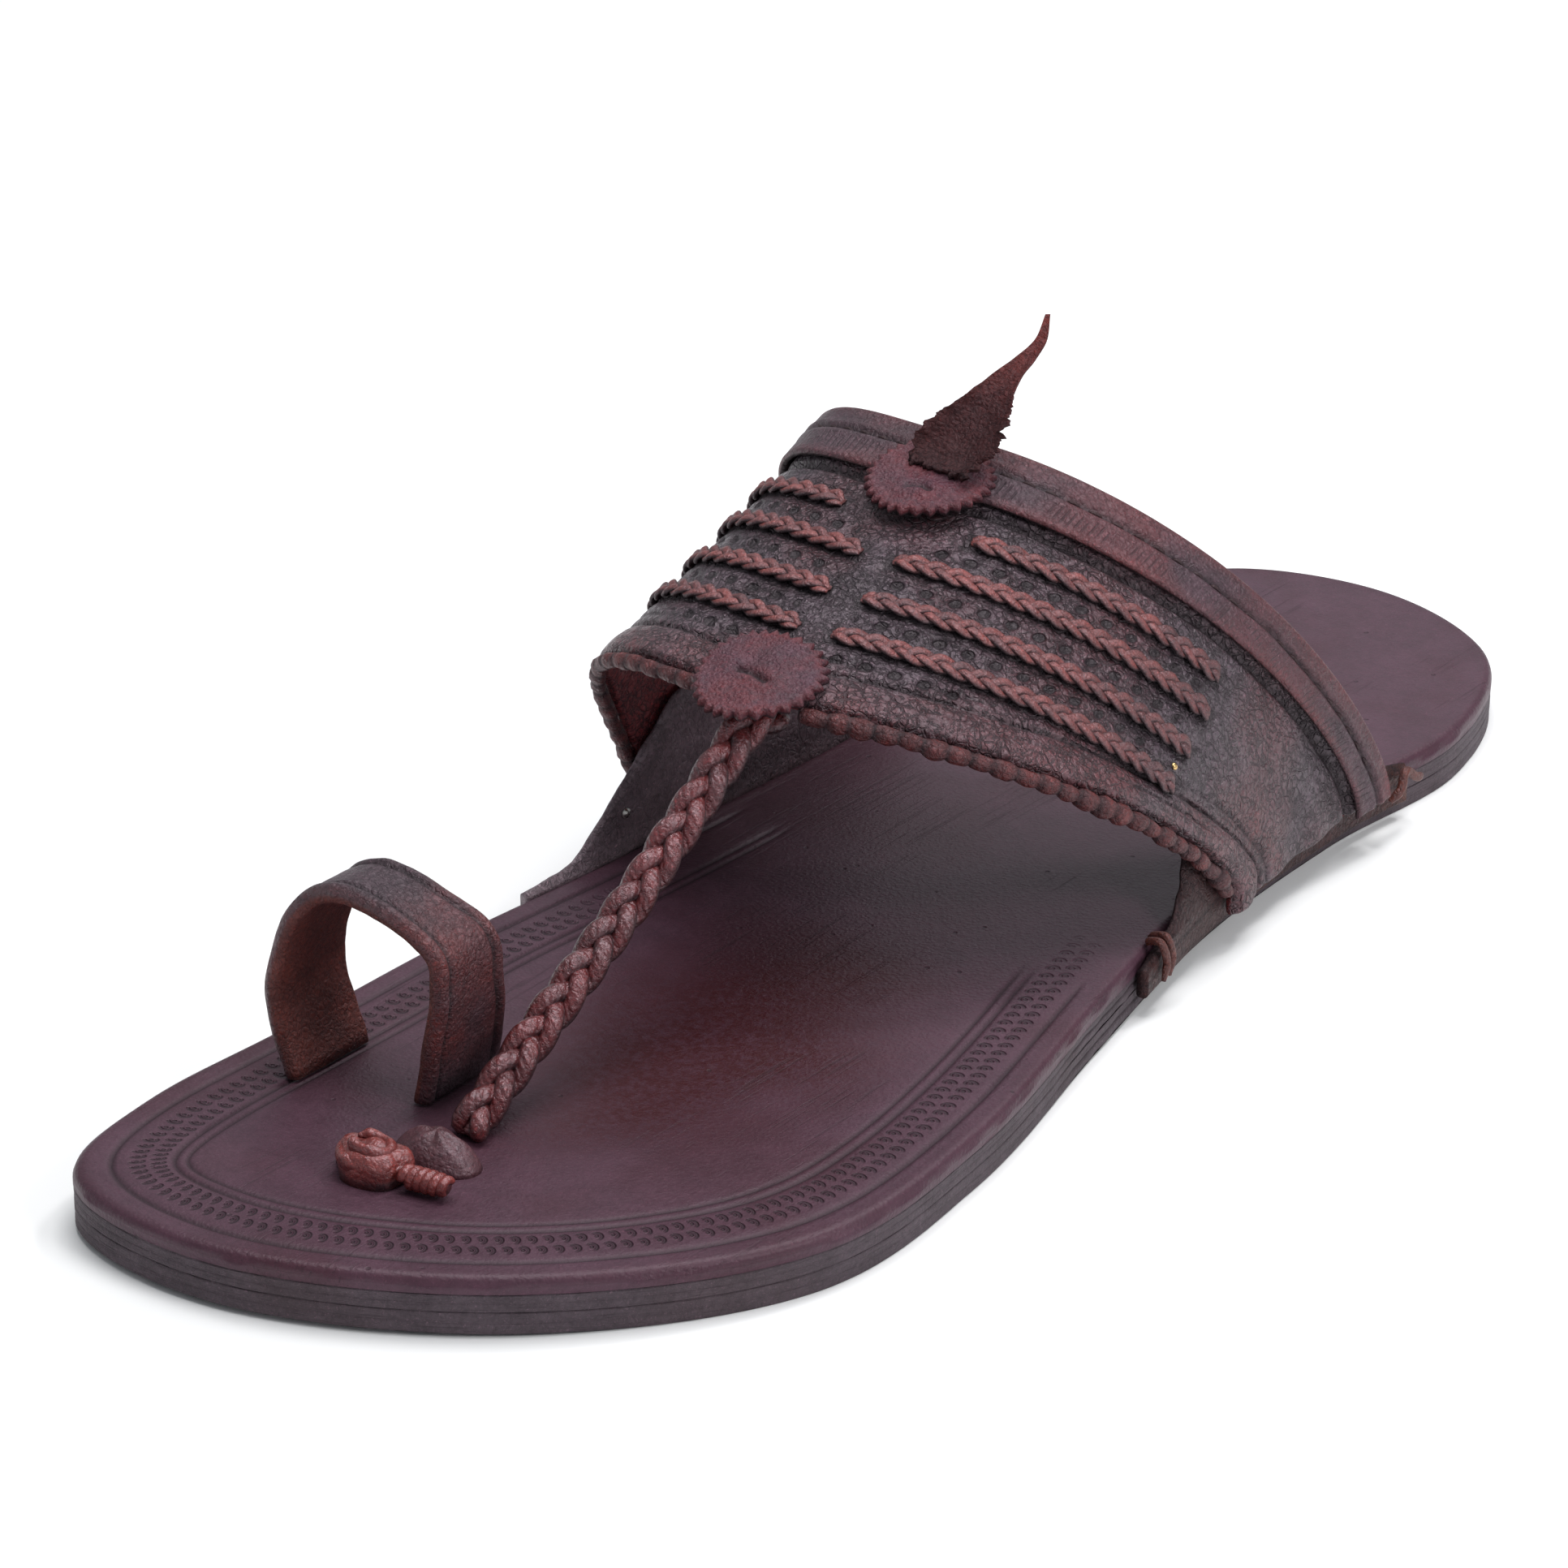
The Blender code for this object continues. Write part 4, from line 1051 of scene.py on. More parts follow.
def make_loop(material):
    """The big toe's loop, a strap with a tooled line along each edge."""

    def place(a, b, layer):
        across = crowd(b, 0.45)
        here = loop_section(a)
        width = here[3] - here[2]
        edge = min(across, 1 - across) * width
        keep = edge_fall(edge, 0.9 * MM)
        spot = loop_point(a, across, 0.0)
        line = bell(edge - 2.3 * MM - 0.15 * MM * rough(spot, 8 * MM), 0.34 * MM)
        lip = bell(edge - 1.35 * MM, 0.6 * MM)
        uneven = 0.18 * MM * rough(spot, 6 * MM) + 0.10 * MM * rough(spot, 2.2 * MM, 4.0)
        uneven += 0.55 * MM * wobble(a * 9, across * 0.8, 5.0) * math.sin(math.pi * a)
        across += 0.030 * wobble(a * 14, round(across), 2.0) * smooth_step(6 * abs(across - 0.5) - 1)
        if layer < 0.5:
            out = -LOOP_WALL / 2 - LOOP_WALL / 2 * keep + uneven
            return loop_point(a, across, out), (0.35, 0.2 + 0.2 * rough(spot, 4 * MM), 1.0, a * 90, across)
        out = -LOOP_WALL / 2 + LOOP_WALL / 2 * keep + uneven * smooth_step(edge / MM)
        out += 0.22 * MM * lip - 0.42 * MM * line
        rub_and_painted_light = 0.85 * window(a, 0.60, 0.94, 0.12) * (0.55 + 0.6 * rough(spot, 5 * MM, 2.0))
        rub_and_painted_light += 0.3 * bell(edge, 0.9 * MM)
        marks = (clip(rub_and_painted_light), 0.85 * line, 0.0, a * 90, across)
        return loop_point(a, across, out), marks

    return sheet_piece("toe_loop_leather", material, 130, 40, place, "strap", "toe_loop")


def footbed_spot(place_share):
    """A place on the footbed's face, from its shares of the ball's width and the length."""
    across, along = place_share[0] * BALL_WIDTH, place_share[1] * LENGTH
    return Vector((across, along, footbed_top(along)))


def make_mound(material):
    """The footbed's skin drawn up over the strap's root."""
    middle = footbed_spot(MOUND_PLACE)

    def place(angle, ring):
        slope = 0.03 + 0.97 * ring
        height = max(1 - slope * slope, 0.0) ** 0.8
        reach = slope * 1.22 / 2
        spot = Vector((math.cos(angle) * reach * MOUND_SIZE[0], math.sin(angle) * reach * MOUND_SIZE[1],
                       height * MOUND_SIZE[2] * 0.94))
        crease = 0.22 * MM * math.sin(5 * angle + 2) * math.sin(math.pi * ring)
        spot.z += crease + 0.25 * MM * rough(spot, 2.5 * MM) * height
        return middle + spot + Vector((0, 0, -0.15 * MM)), (0.35, 0.12 * ring, 0, 0, ring)

    return tube_piece("root_mound_leather", material, 48, 20, place, "strap", "root_mound")


def make_knot(material):
    """The knot: a folded lump of leather with a strip wound over it."""
    middle = footbed_spot(KNOT_PLACE)

    def lump(angle, ring):
        slope = 0.04 + 0.96 * ring
        lobes = 1 + 0.09 * math.cos(3 * angle + 0.6) + 0.06 * math.cos(5 * angle)
        reach = math.sin(slope * math.pi / 2) ** 0.75 * lobes
        height = math.cos(slope * math.pi / 2) ** 0.55
        spot = Vector((math.cos(angle) * reach * KNOT_SIZE[0] / 2, math.sin(angle) * reach * KNOT_SIZE[1] / 2,
                       height * KNOT_SIZE[2] * 0.86))
        fold = math.cos(9 * math.hypot(spot.x, spot.y) / (6 * MM) + 1.2 * math.sin(angle))
        spot += spot.normalized() * (0.28 * MM * fold + 0.3 * MM * rough(spot, 2 * MM))
        spot.z = max(spot.z, 0.0)
        # Painted shade: the folds' troughs and the knot's foot on the footbed are darkened.
        dirt_and_shade = max(-fold, 0) * 0.4 + 0.5 * (ring > 0.95)
        return middle + spot + Vector((0, 0, 0.1 * MM)), (0.95, dirt_and_shade, 0, 0, ring)

    def wrap(height, radius, thick, tilt, turn):
        def place(angle, along):
            around = turn + 2 * math.pi * 0.9 * along
            centre = Vector((math.cos(around) * radius * 1.25, math.sin(around) * radius, height))
            centre.z += math.sin(around + 0.7) * tilt
            side = Vector((math.cos(around), math.sin(around), 0))
            fade = smooth_step(min(along, 1 - along) * 8)
            reach = thick * (0.35 + 0.65 * fade) * (1 + 0.12 * math.sin(along * 23))
            spot = centre + (side * math.cos(angle) + Vector((0, 0, 1.3)) * math.sin(angle)) * reach
            # Painted shade: the strip is darkened along its sides where it lies on the lump.
            return middle + spot, (0.9, 0.25 * abs(math.cos(angle)) ** 3, 0, along * 20, 0)

        return place

    mesh = bmesh.new()
    add_tube(mesh, 48, 24, lump)
    add_tube(mesh, 12, 60, wrap(4.6 * MM, 2.3 * MM, 0.85 * MM, 0.5 * MM, 0.4))
    add_tube(mesh, 12, 60, wrap(2.3 * MM, 3.7 * MM, 0.95 * MM, 0.7 * MM, 2.6))
    return finish_piece("toe_knot_leather", mesh, material, "trim", "toe_knot")


def make_coil(material):
    """The knot's end, wound round itself in five turns."""
    middle = footbed_spot(COIL_PLACE) + Vector((0, 0, FIT_GAP + COIL_RADIUS))
    axis = Vector((1, 0.2, 0)).normalized()
    side = UP.cross(axis)
    wire = 0.30 * COIL_RADIUS

    def winding(angle, along):
        around = 2 * math.pi * (COIL_TURNS + 0.4) * along
        radius = (COIL_RADIUS - wire) * (0.80 + 0.20 * smooth_step((1 - along) * 3))
        out = spoke(around, side, UP)
        spot = middle + axis * (0.5 - along) * COIL_LENGTH * 0.92 + out * radius
        spot += (out * math.cos(angle) + axis * math.sin(angle) * 1.25) * wire * 1.25
        # Painted shade: each winding is darker on its side towards the core.
        return spot, (0.95, 0.5 * max(-math.cos(angle), 0), 0, along * 20, 0)

    def core(angle, along):
        out = spoke(angle, side, UP)
        spot = middle + axis * (0.5 - along) * COIL_LENGTH * 0.96
        # Painted shade: the core inside the windings is darkened.
        return spot + out * COIL_RADIUS * 0.62, (0.7, 0.5, 0, 0, 0)

    mesh = bmesh.new()
    add_tube(mesh, 10, 130, winding)
    add_tube(mesh, 14, 12, core)
    return finish_piece("knot_coil_leather", mesh, material, "trim", "knot_coil")


def make_nail(name, spot, out, radius, material):
    """A small round nail head, domed, sunk a little in the leather."""
    out = out.normalized()
    side = out.orthogonal().normalized()
    over = out.cross(side)

    def place(angle, ring):
        slope = (0.04 + 0.96 * ring) * math.pi / 2
        reach = math.sin(slope) * radius
        height = math.cos(slope) * radius * 0.7
        return spot + spoke(angle, side, over) * reach + out * height, (0, 0, 0, 0, 0)

    return tube_piece(name, material, 16, 6, place, "trim")


def make_lace(name, points, radius, material):
    """A short lace of leather through a few points."""
    line = curve_through([tuple(point) for point in points], steps=12)
    count = len(line) - 1

    def place(angle, along):
        step = round(along * count)
        ahead = Vector(line[min(step + 1, count)] - line[max(step - 1, 0)]).normalized()
        side = ahead.cross(UP).normalized()
        over = side.cross(ahead)
        size = radius * (0.6 + 0.4 * smooth_step(min(along, 1 - along) * 6))
        return Vector(line[step]) + spoke(angle, side, over) * size, (1, 0.2, 0, along * 9, 0)

    return tube_piece(name, material, 10, count, place, "trim")


def make_stitches(name, spots, radius, material):
    """Short thread stitches, each between two points and drawn into the leather at its ends."""
    mesh = bmesh.new()
    for start, end, out in spots:

        def place(angle, along, start=start, end=end, out=out):
            ahead = (end - start).normalized()
            side = ahead.cross(out).normalized()
            rise = math.sin(math.pi * along) ** 0.5
            spot = start + (end - start) * along + out * radius * (rise * 1.3 - 1.0)
            size = radius * (0.55 + 0.45 * rise)
            return spot + spoke(angle, side, out) * size, (0.3, 0.1, 0, along * 3, 0)

        add_tube(mesh, 8, 6, place)
    return finish_piece(name, mesh, material, "trim")


def collar_stitches():
    """Where the collar's stitches lie, along the groove of its stitch line."""
    share = COLLAR_START + (1 - COLLAR_START) * 0.56
    spots = []
    for side, sign in (("outer", -1), ("inner", 1)):
        pitch = 3.6 * MM / band_reach(side, 0.9)
        for number in range(int(0.98 / pitch)):
            turn = sign * (number + 0.5) * pitch
            _, out = band_frame(round(turn, 4), share)
            level = FIT_GAP + COLLAR_THICK - 0.42 * MM
            start = on_band(round(turn - 0.32 * pitch, 5), share, level)
            end = on_band(round(turn + 0.32 * pitch, 5), share, level)
            spots.append((start, end, out))
    return spots


def add_node(tree, kind, inputs=None, **settings):
    """Adds a node, with its settings and with values or links for its inputs."""
    node = tree.nodes.new(kind)
    for name, value in settings.items():
        setattr(node, name, value)
    for name, value in (inputs or {}).items():
        if isinstance(value, bpy.types.NodeSocket):
            tree.links.new(value, node.inputs[name])
        else:
            node.inputs[name].default_value = value
    return node


def sums(tree, operation, first, second=0.0, clamp=False):
    """One step of arithmetic on values."""
    inputs = {0: first, 1: second}
    return add_node(tree, "ShaderNodeMath", inputs, operation=operation, use_clamp=clamp).outputs[0]


def plus(tree, first, second, clamp=False):
    """Two values together."""
    return sums(tree, "ADD", first, second, clamp)


def less(tree, first, second):
    """What is left of a value after another."""
    return sums(tree, "SUBTRACT", first, second)


def times(tree, first, second, clamp=False):
    """A value as many times as another says."""
    return sums(tree, "MULTIPLY", first, second, clamp)


def most(tree, first, second):
    """The larger of two values."""
    return sums(tree, "MAXIMUM", first, second)


def apart(tree, first, second):
    """How far two values are apart."""
    return sums(tree, "ABSOLUTE", less(tree, first, second))


def blend_colours(tree, share, first, second, kind="MIX"):
    """Mixes two colours."""
    node = add_node(tree, "ShaderNodeMix", {0: share, 6: first, 7: second}, data_type="RGBA", blend_type=kind)
    return node.outputs[2]


def rise_between(tree, value, low, high, bottom=0.0, top=1.0):
    """A smooth rise from bottom to top as a value goes from low to high."""
    inputs = {"Value": value, "From Min": low, "From Max": high, "To Min": bottom, "To Max": top}
    return add_node(tree, "ShaderNodeMapRange", inputs, interpolation_type="SMOOTHSTEP").outputs[0]


def mark(tree, name):
    """One of a piece's own marks as a value."""
    return add_node(tree, "ShaderNodeAttribute", attribute_name=name).outputs["Fac"]


def new_group(name, inputs, outputs):
    """A shader node group with named inputs and outputs, and its two end nodes."""
    tree = bpy.data.node_groups.new(name, "ShaderNodeTree")
    for label, kind, value in inputs:
        socket = tree.interface.new_socket(name=label, in_out="INPUT", socket_type=kind)
        socket.default_value = value
    for label, kind in outputs:
        tree.interface.new_socket(name=label, in_out="OUTPUT", socket_type=kind)
    return tree, tree.nodes.new("NodeGroupInput").outputs, tree.nodes.new("NodeGroupOutput").inputs


def soft_noise(tree, spot, scale, detail, roughness=0.5):
    """Cloudy noise over a piece, from about 0 to 1."""
    inputs = {"Vector": spot, "Scale": scale, "Detail": detail, "Roughness": roughness}
    return add_node(tree, "ShaderNodeTexNoise", inputs).outputs["Fac"]


def place_in_mm(tree, size):
    """The piece's own place, counted in steps of a size in millimetres."""
    steps = sums(tree, "DIVIDE", 1000.0, size)
    spot = add_node(tree, "ShaderNodeTexCoord").outputs["Object"]
    return add_node(tree, "ShaderNodeVectorMath", {0: spot, "Scale": steps}, operation="SCALE").outputs[0]


def grain_group():
    """Leather grain: the pebbles' height, the dark crevices between them, and light flecks that also serve as
    painted glints.
    """
    number = "NodeSocketFloat"
    tree, given, result = new_group("Leather Grain", [
        ("Grain Size", number, 1.0),
        ("Crackle", number, 0.5),
    ], [("Height", number), ("Crevice", number), ("Fleck And Glint", number)])
    spot = place_in_mm(tree, given["Grain Size"])
    drift = add_node(tree, "ShaderNodeTexNoise", {"Vector": spot, "Scale": 0.45, "Detail": 2.0})
    drift = drift.outputs["Color"]
    drift = add_node(tree, "ShaderNodeVectorMath", {0: drift, "Scale": 1.6}, operation="SCALE").outputs[0]
    spot = add_node(tree, "ShaderNodeVectorMath", {0: spot, 1: drift}, operation="ADD").outputs[0]
    pebble = add_node(tree, "ShaderNodeTexVoronoi", {"Vector": spot, "Scale": 1.0}).outputs["Distance"]
    crack = add_node(tree, "ShaderNodeTexVoronoi", {"Vector": spot, "Scale": 0.62},
                     feature="DISTANCE_TO_EDGE").outputs["Distance"]
    fine = soft_noise(tree, spot, 2.6, 4.0, 0.65)
    broken = soft_noise(tree, spot, 0.22, 2.0)
    crevice = rise_between(tree, crack, 0.0, 0.12, 1.0, 0.0)
    crevice = times(tree, crevice, rise_between(tree, broken, 0.36, 0.58, 0.15, 0.9))
    wander = soft_noise(tree, spot, 0.55, 3.0, 0.6)
    thin = apart(tree, wander, 0.5)
    crevice = most(tree, crevice, rise_between(tree, thin, 0.009, 0.032, 1.0, 0.0))
    crevice = times(tree, crevice, given["Crackle"])
    height = times(tree, rise_between(tree, pebble, 0.05, 0.75, 1.0, 0.0), 0.5)
    height = plus(tree, height, times(tree, fine, 0.5))
    height = less(tree, height, times(tree, crevice, 0.8))
    tree.links.new(height, result["Height"])
    tree.links.new(crevice, result["Crevice"])
    tree.links.new(rise_between(tree, fine, 0.56, 0.74), result["Fleck And Glint"])
    return tree


def tone_group():
    """Leather colour: an uneven dye, rubbed red at its edges and reddened further as painted light, dark in
    its hollows with dirt and painted shade, and lightened on its flecks as painted glints.
    """
    number, colour = "NodeSocketFloat", "NodeSocketColor"
    white = (1.0, 1.0, 1.0, 1.0)
    tree, given, result = new_group("Leather Tone", [
        ("Dye", colour, white),
        ("Rubbed And Painted Light", colour, white),
        ("Dark", colour, white),
        ("Flesh", colour, white),
        ("Rub And Painted Light", number, 0.0),
        ("Dirt And Shade", number, 0.0),
        ("Flesh Side", number, 0.0),
        ("Fleck And Glint", number, 0.0),
        ("Patches", number, 0.5),
        ("Gloss", number, 0.5),
        ("Mottle", number, 0.8),
    ], [("Colour", colour), ("Roughness", number)])
    spot = place_in_mm(tree, 1.0)
    broad = soft_noise(tree, spot, 0.035, 3.0)
    cloud = soft_noise(tree, spot, 0.16, 4.0, 0.6)
    speck = soft_noise(tree, spot, 0.85, 4.0, 0.75)
    shade = plus(tree, times(tree, cloud, 0.45), times(tree, speck, 0.45))
    shade = rise_between(tree, shade, 0.30, 0.60, 1.0, 0.0)
    shade = less(tree, 1.35, times(tree, shade, given["Mottle"]))
    shade_colour = add_node(tree, "ShaderNodeCombineColor", {0: shade, 1: shade, 2: shade}).outputs[0]
    colour_now = blend_colours(tree, 1.0, given["Dye"], shade_colour, "MULTIPLY")
    patch = times(tree, rise_between(tree, broad, 0.48, 0.66), given["Patches"])
    colour_now = blend_colours(tree, patch, colour_now, given["Rubbed And Painted Light"])
    # The rub mark mixes in the rubbed colour: real wear, and painted light where a piece puts it there.
    reddened = times(tree, given["Rub And Painted Light"], rise_between(tree, speck, 0.30, 0.62, 0.45, 1.15), True)
    colour_now = blend_colours(tree, reddened, colour_now, given["Rubbed And Painted Light"])
    colour_now = blend_colours(tree, given["Flesh Side"], colour_now, given["Flesh"])
    # Painted highlight: the flecks are lightened far past the dye, partly as lighter flecks and partly to
    # stand in for glints on the grain.
    light = blend_colours(tree, 1.0, colour_now, (3.2, 2.6, 2.8, 1.0), "MULTIPLY")
    colour_now = blend_colours(tree, times(tree, given["Fleck And Glint"], given["Mottle"]), colour_now, light)
    soiled_and_shaded = times(tree, given["Dirt And Shade"], 0.9, True)
    colour_now = blend_colours(tree, soiled_and_shaded, colour_now, given["Dark"])
    rough_now = less(tree, 0.70, times(tree, given["Gloss"], 0.42))
    rough_now = plus(tree, rough_now, times(tree, speck, 0.14))
    rough_now = plus(tree, rough_now, times(tree, soiled_and_shaded, 0.22))
    rough_now = plus(tree, rough_now, times(tree, given["Flesh Side"], 0.15), True)
    tree.links.new(colour_now, result["Colour"])
    tree.links.new(rough_now, result["Roughness"])
    return tree


def use_group(tree, group, inputs):
    """Places a node group in a material with its own values."""
    node = tree.nodes.new("ShaderNodeGroup")
    node.node_tree = group
    for name, value in inputs.items():
        if isinstance(value, bpy.types.NodeSocket):
            tree.links.new(value, node.inputs[name])
        else:
            node.inputs[name].default_value = value
    return node.outputs


def new_material(name):
    """A material with its node tree and its shader."""
    material = bpy.data.materials.new(name)
    material.use_nodes = True
    return material, material.node_tree, material.node_tree.nodes["Principled BSDF"]


def leather(name, groups, dye, rubbed_and_painted_light, grain, crackle, depth, patches, gloss, shine, flesh=FLESH,
            mottle=0.8, extra=None):
    """A leather: extra adds heights in millimetres and dirt and painted shade from the piece's own marks."""
    material, tree, shader = new_material(name)
    skin = use_group(tree, groups["grain"], {"Grain Size": grain, "Crackle": crackle})
    height = times(tree, skin["Height"], depth)
    dirt_and_shade = plus(tree, mark(tree, "dirt_and_shade"), times(tree, skin["Crevice"], 0.75), True)
    if extra:
        more_height, more_dirt_and_shade = extra(tree)
        height = plus(tree, height, more_height)
        dirt_and_shade = most(tree, dirt_and_shade, more_dirt_and_shade)
    tone = use_group(tree, groups["tone"], {
        "Dye": (*dye, 1.0),
        "Rubbed And Painted Light": (*rubbed_and_painted_light, 1.0),
        "Dark": (*DARK, 1.0),
        "Flesh": (*flesh, 1.0),
        "Rub And Painted Light": mark(tree, "rub_and_painted_light"),
        "Dirt And Shade": dirt_and_shade,
        "Flesh Side": mark(tree, "flesh"),
        "Fleck And Glint": skin["Fleck And Glint"],
        "Patches": patches,
        "Gloss": gloss,
        "Mottle": mottle,
    })
    bump = add_node(tree, "ShaderNodeBump", {"Height": height, "Distance": 1 * MM, "Strength": 1.0})
    tree.links.new(tone["Colour"], shader.inputs["Base Color"])
    tree.links.new(tone["Roughness"], shader.inputs["Roughness"])
    tree.links.new(bump.outputs[0], shader.inputs["Normal"])
    shader.inputs["Specular IOR Level"].default_value = shine
    shader.inputs["Specular Tint"].default_value = (1.0, 0.86, 0.94, 1.0)
    return material


def punched_holes(tree):
    """The band's rows of punched holes, each a dimple darkened with painted shade, with a pressed ring round
    it.
    """
    around = less(tree, sums(tree, "MODULO", mark(tree, "along"), HOLE_PITCH), HOLE_PITCH / 2)
    across = mark(tree, "across")
    far = sums(tree, "SQRT", plus(tree, times(tree, around, around),
                                  times(tree, across, across)))
    hole = rise_between(tree, far, 0.80, 1.15, 1.0, 0.0)
    ring = rise_between(tree, apart(tree, far, 1.4), 0.0, 0.3, 1.0, 0.0)
    height = less(tree, times(tree, ring, 0.12), times(tree, hole, 0.45))
    return height, most(tree, times(tree, hole, 1.1), times(tree, ring, 0.0))


def stamped_border(tree):
    """The footbed's stamped band: two staggered rows of small crescents round the sole."""
    along = mark(tree, "along")
    across = mark(tree, "across")
    low, high = STAMP_BAND
    level = sums(tree, "DIVIDE", less(tree, across, low), (high - low) / 2)
    row = sums(tree, "FLOOR", level)
    place = plus(tree, sums(tree, "DIVIDE", along, STAMP_PITCH), times(tree, row, 0.5))
    side = less(tree, sums(tree, "FRACT", place), 0.5)
    up = less(tree, sums(tree, "FRACT", level), 0.5)
    far = sums(tree, "SQRT", plus(tree, times(tree, side, side), times(tree, up, up)))
    ring = rise_between(tree, apart(tree, far, 0.31), 0.02, 0.15, 1.0, 0.0)
    open_side = rise_between(tree, plus(tree, side, times(tree, up, 0.5)), -0.25, 0.10)
    stamp = times(tree, ring, open_side)
    dot = rise_between(tree, far, 0.06, 0.16, 1.0, 0.0)
    stamp = most(tree, stamp, dot)
    inside = times(tree, rise_between(tree, across, low - 0.1, low + 0.2),
                  rise_between(tree, across, high - 0.2, high + 0.1, 1.0, 0.0))
    start, end = STAMPS_START * OUTLINE_RUN, STAMPS_END * OUTLINE_RUN
    reach = times(tree, rise_between(tree, along, start - 25, start + 8),
                 rise_between(tree, along, end - 22, end + 6, 1.0, 0.0))
    stamp = times(tree, times(tree, stamp, inside), reach)
    spot = place_in_mm(tree, 1.0)
    turned = add_node(tree, "ShaderNodeMapping", {"Vector": spot, "Rotation": (0.0, 0.0, 0.12),
                                                  "Scale": (1.6, 0.05, 1.0)}).outputs[0]
    streak = soft_noise(tree, turned, 1.0, 3.0)
    patchy = soft_noise(tree, spot, 0.045, 2.0)
    scratch = times(tree, rise_between(tree, streak, 0.58, 0.66), rise_between(tree, patchy, 0.46, 0.62))
    nick = add_node(tree, "ShaderNodeTexVoronoi", {"Vector": spot, "Scale": 0.16}).outputs["Distance"]
    nick = rise_between(tree, nick, 0.035, 0.075, 1.0, 0.0)
    height = plus(tree, times(tree, stamp, -0.38), times(tree, scratch, -0.035))
    height = less(tree, height, times(tree, nick, 0.10))
    dirt_and_shade = most(tree, times(tree, stamp, 0.65), times(tree, scratch, 0.30))
    return height, most(tree, dirt_and_shade, times(tree, nick, 0.5))


def stamped_ticks(tree):
    """Faint ticks stamped across the collar's front strip."""
    along = mark(tree, "along")
    off = mark(tree, "across")
    wave = sums(tree, "FRACT", sums(tree, "DIVIDE", along, 1.15))
    tick = rise_between(tree, apart(tree, wave, 0.5), 0.05, 0.20, 1.0, 0.0)
    spot = place_in_mm(tree, 1.0)
    patchy = soft_noise(tree, spot, 0.22, 2.0)
    strip = times(tree, rise_between(tree, off, -6.2, -5.2), rise_between(tree, off, -2.4, -1.6, 1.0, 0.0))
    tick = times(tree, times(tree, tick, strip), rise_between(tree, patchy, 0.42, 0.58))
    return times(tree, tick, -0.14), times(tree, tick, 0.55)


def strand_ribs(tree):
    """Fine ribs across the strands of the toe strap, darkened in their troughs as painted shade."""
    along = mark(tree, "along")
    side = mark(tree, "across")
    wave = sums(tree, "SINE", times(tree, plus(tree, along, side), 2 * math.pi / 0.95))
    rib = times(tree, wave, 0.5)
    return times(tree, rib, 0.07), rise_between(tree, wave, -0.95, -0.4, 0.22, 0.0)


def cut_layers(tree):
    """The cut edge of the sole's leather: fine lines that run round it."""
    along = times(tree, mark(tree, "along"), 0.05)
    level = times(tree, mark(tree, "across"), 2.2)
    spot = add_node(tree, "ShaderNodeCombineXYZ", {"X": along, "Y": level}).outputs[0]
    lines = soft_noise(tree, spot, 1.6, 5.0, 0.7)
    return times(tree, lines, 0.28), rise_between(tree, lines, 0.30, 0.46, 0.7, 0.0)


def metal(name, colour):
    """The nails' metal, worn bright in places."""
    material, tree, shader = new_material(name)
    spot = place_in_mm(tree, 1.0)
    speck = soft_noise(tree, spot, 2.5, 3.0)
    dull = (*[0.5 * part for part in colour], 1.0)
    shade = blend_colours(tree, rise_between(tree, speck, 0.35, 0.65), dull, (*colour, 1.0))
    tree.links.new(shade, shader.inputs["Base Color"])
    tree.links.new(rise_between(tree, speck, 0.3, 0.7, 0.22, 0.45), shader.inputs["Roughness"])
    shader.inputs["Metallic"].default_value = 1.0
    return material


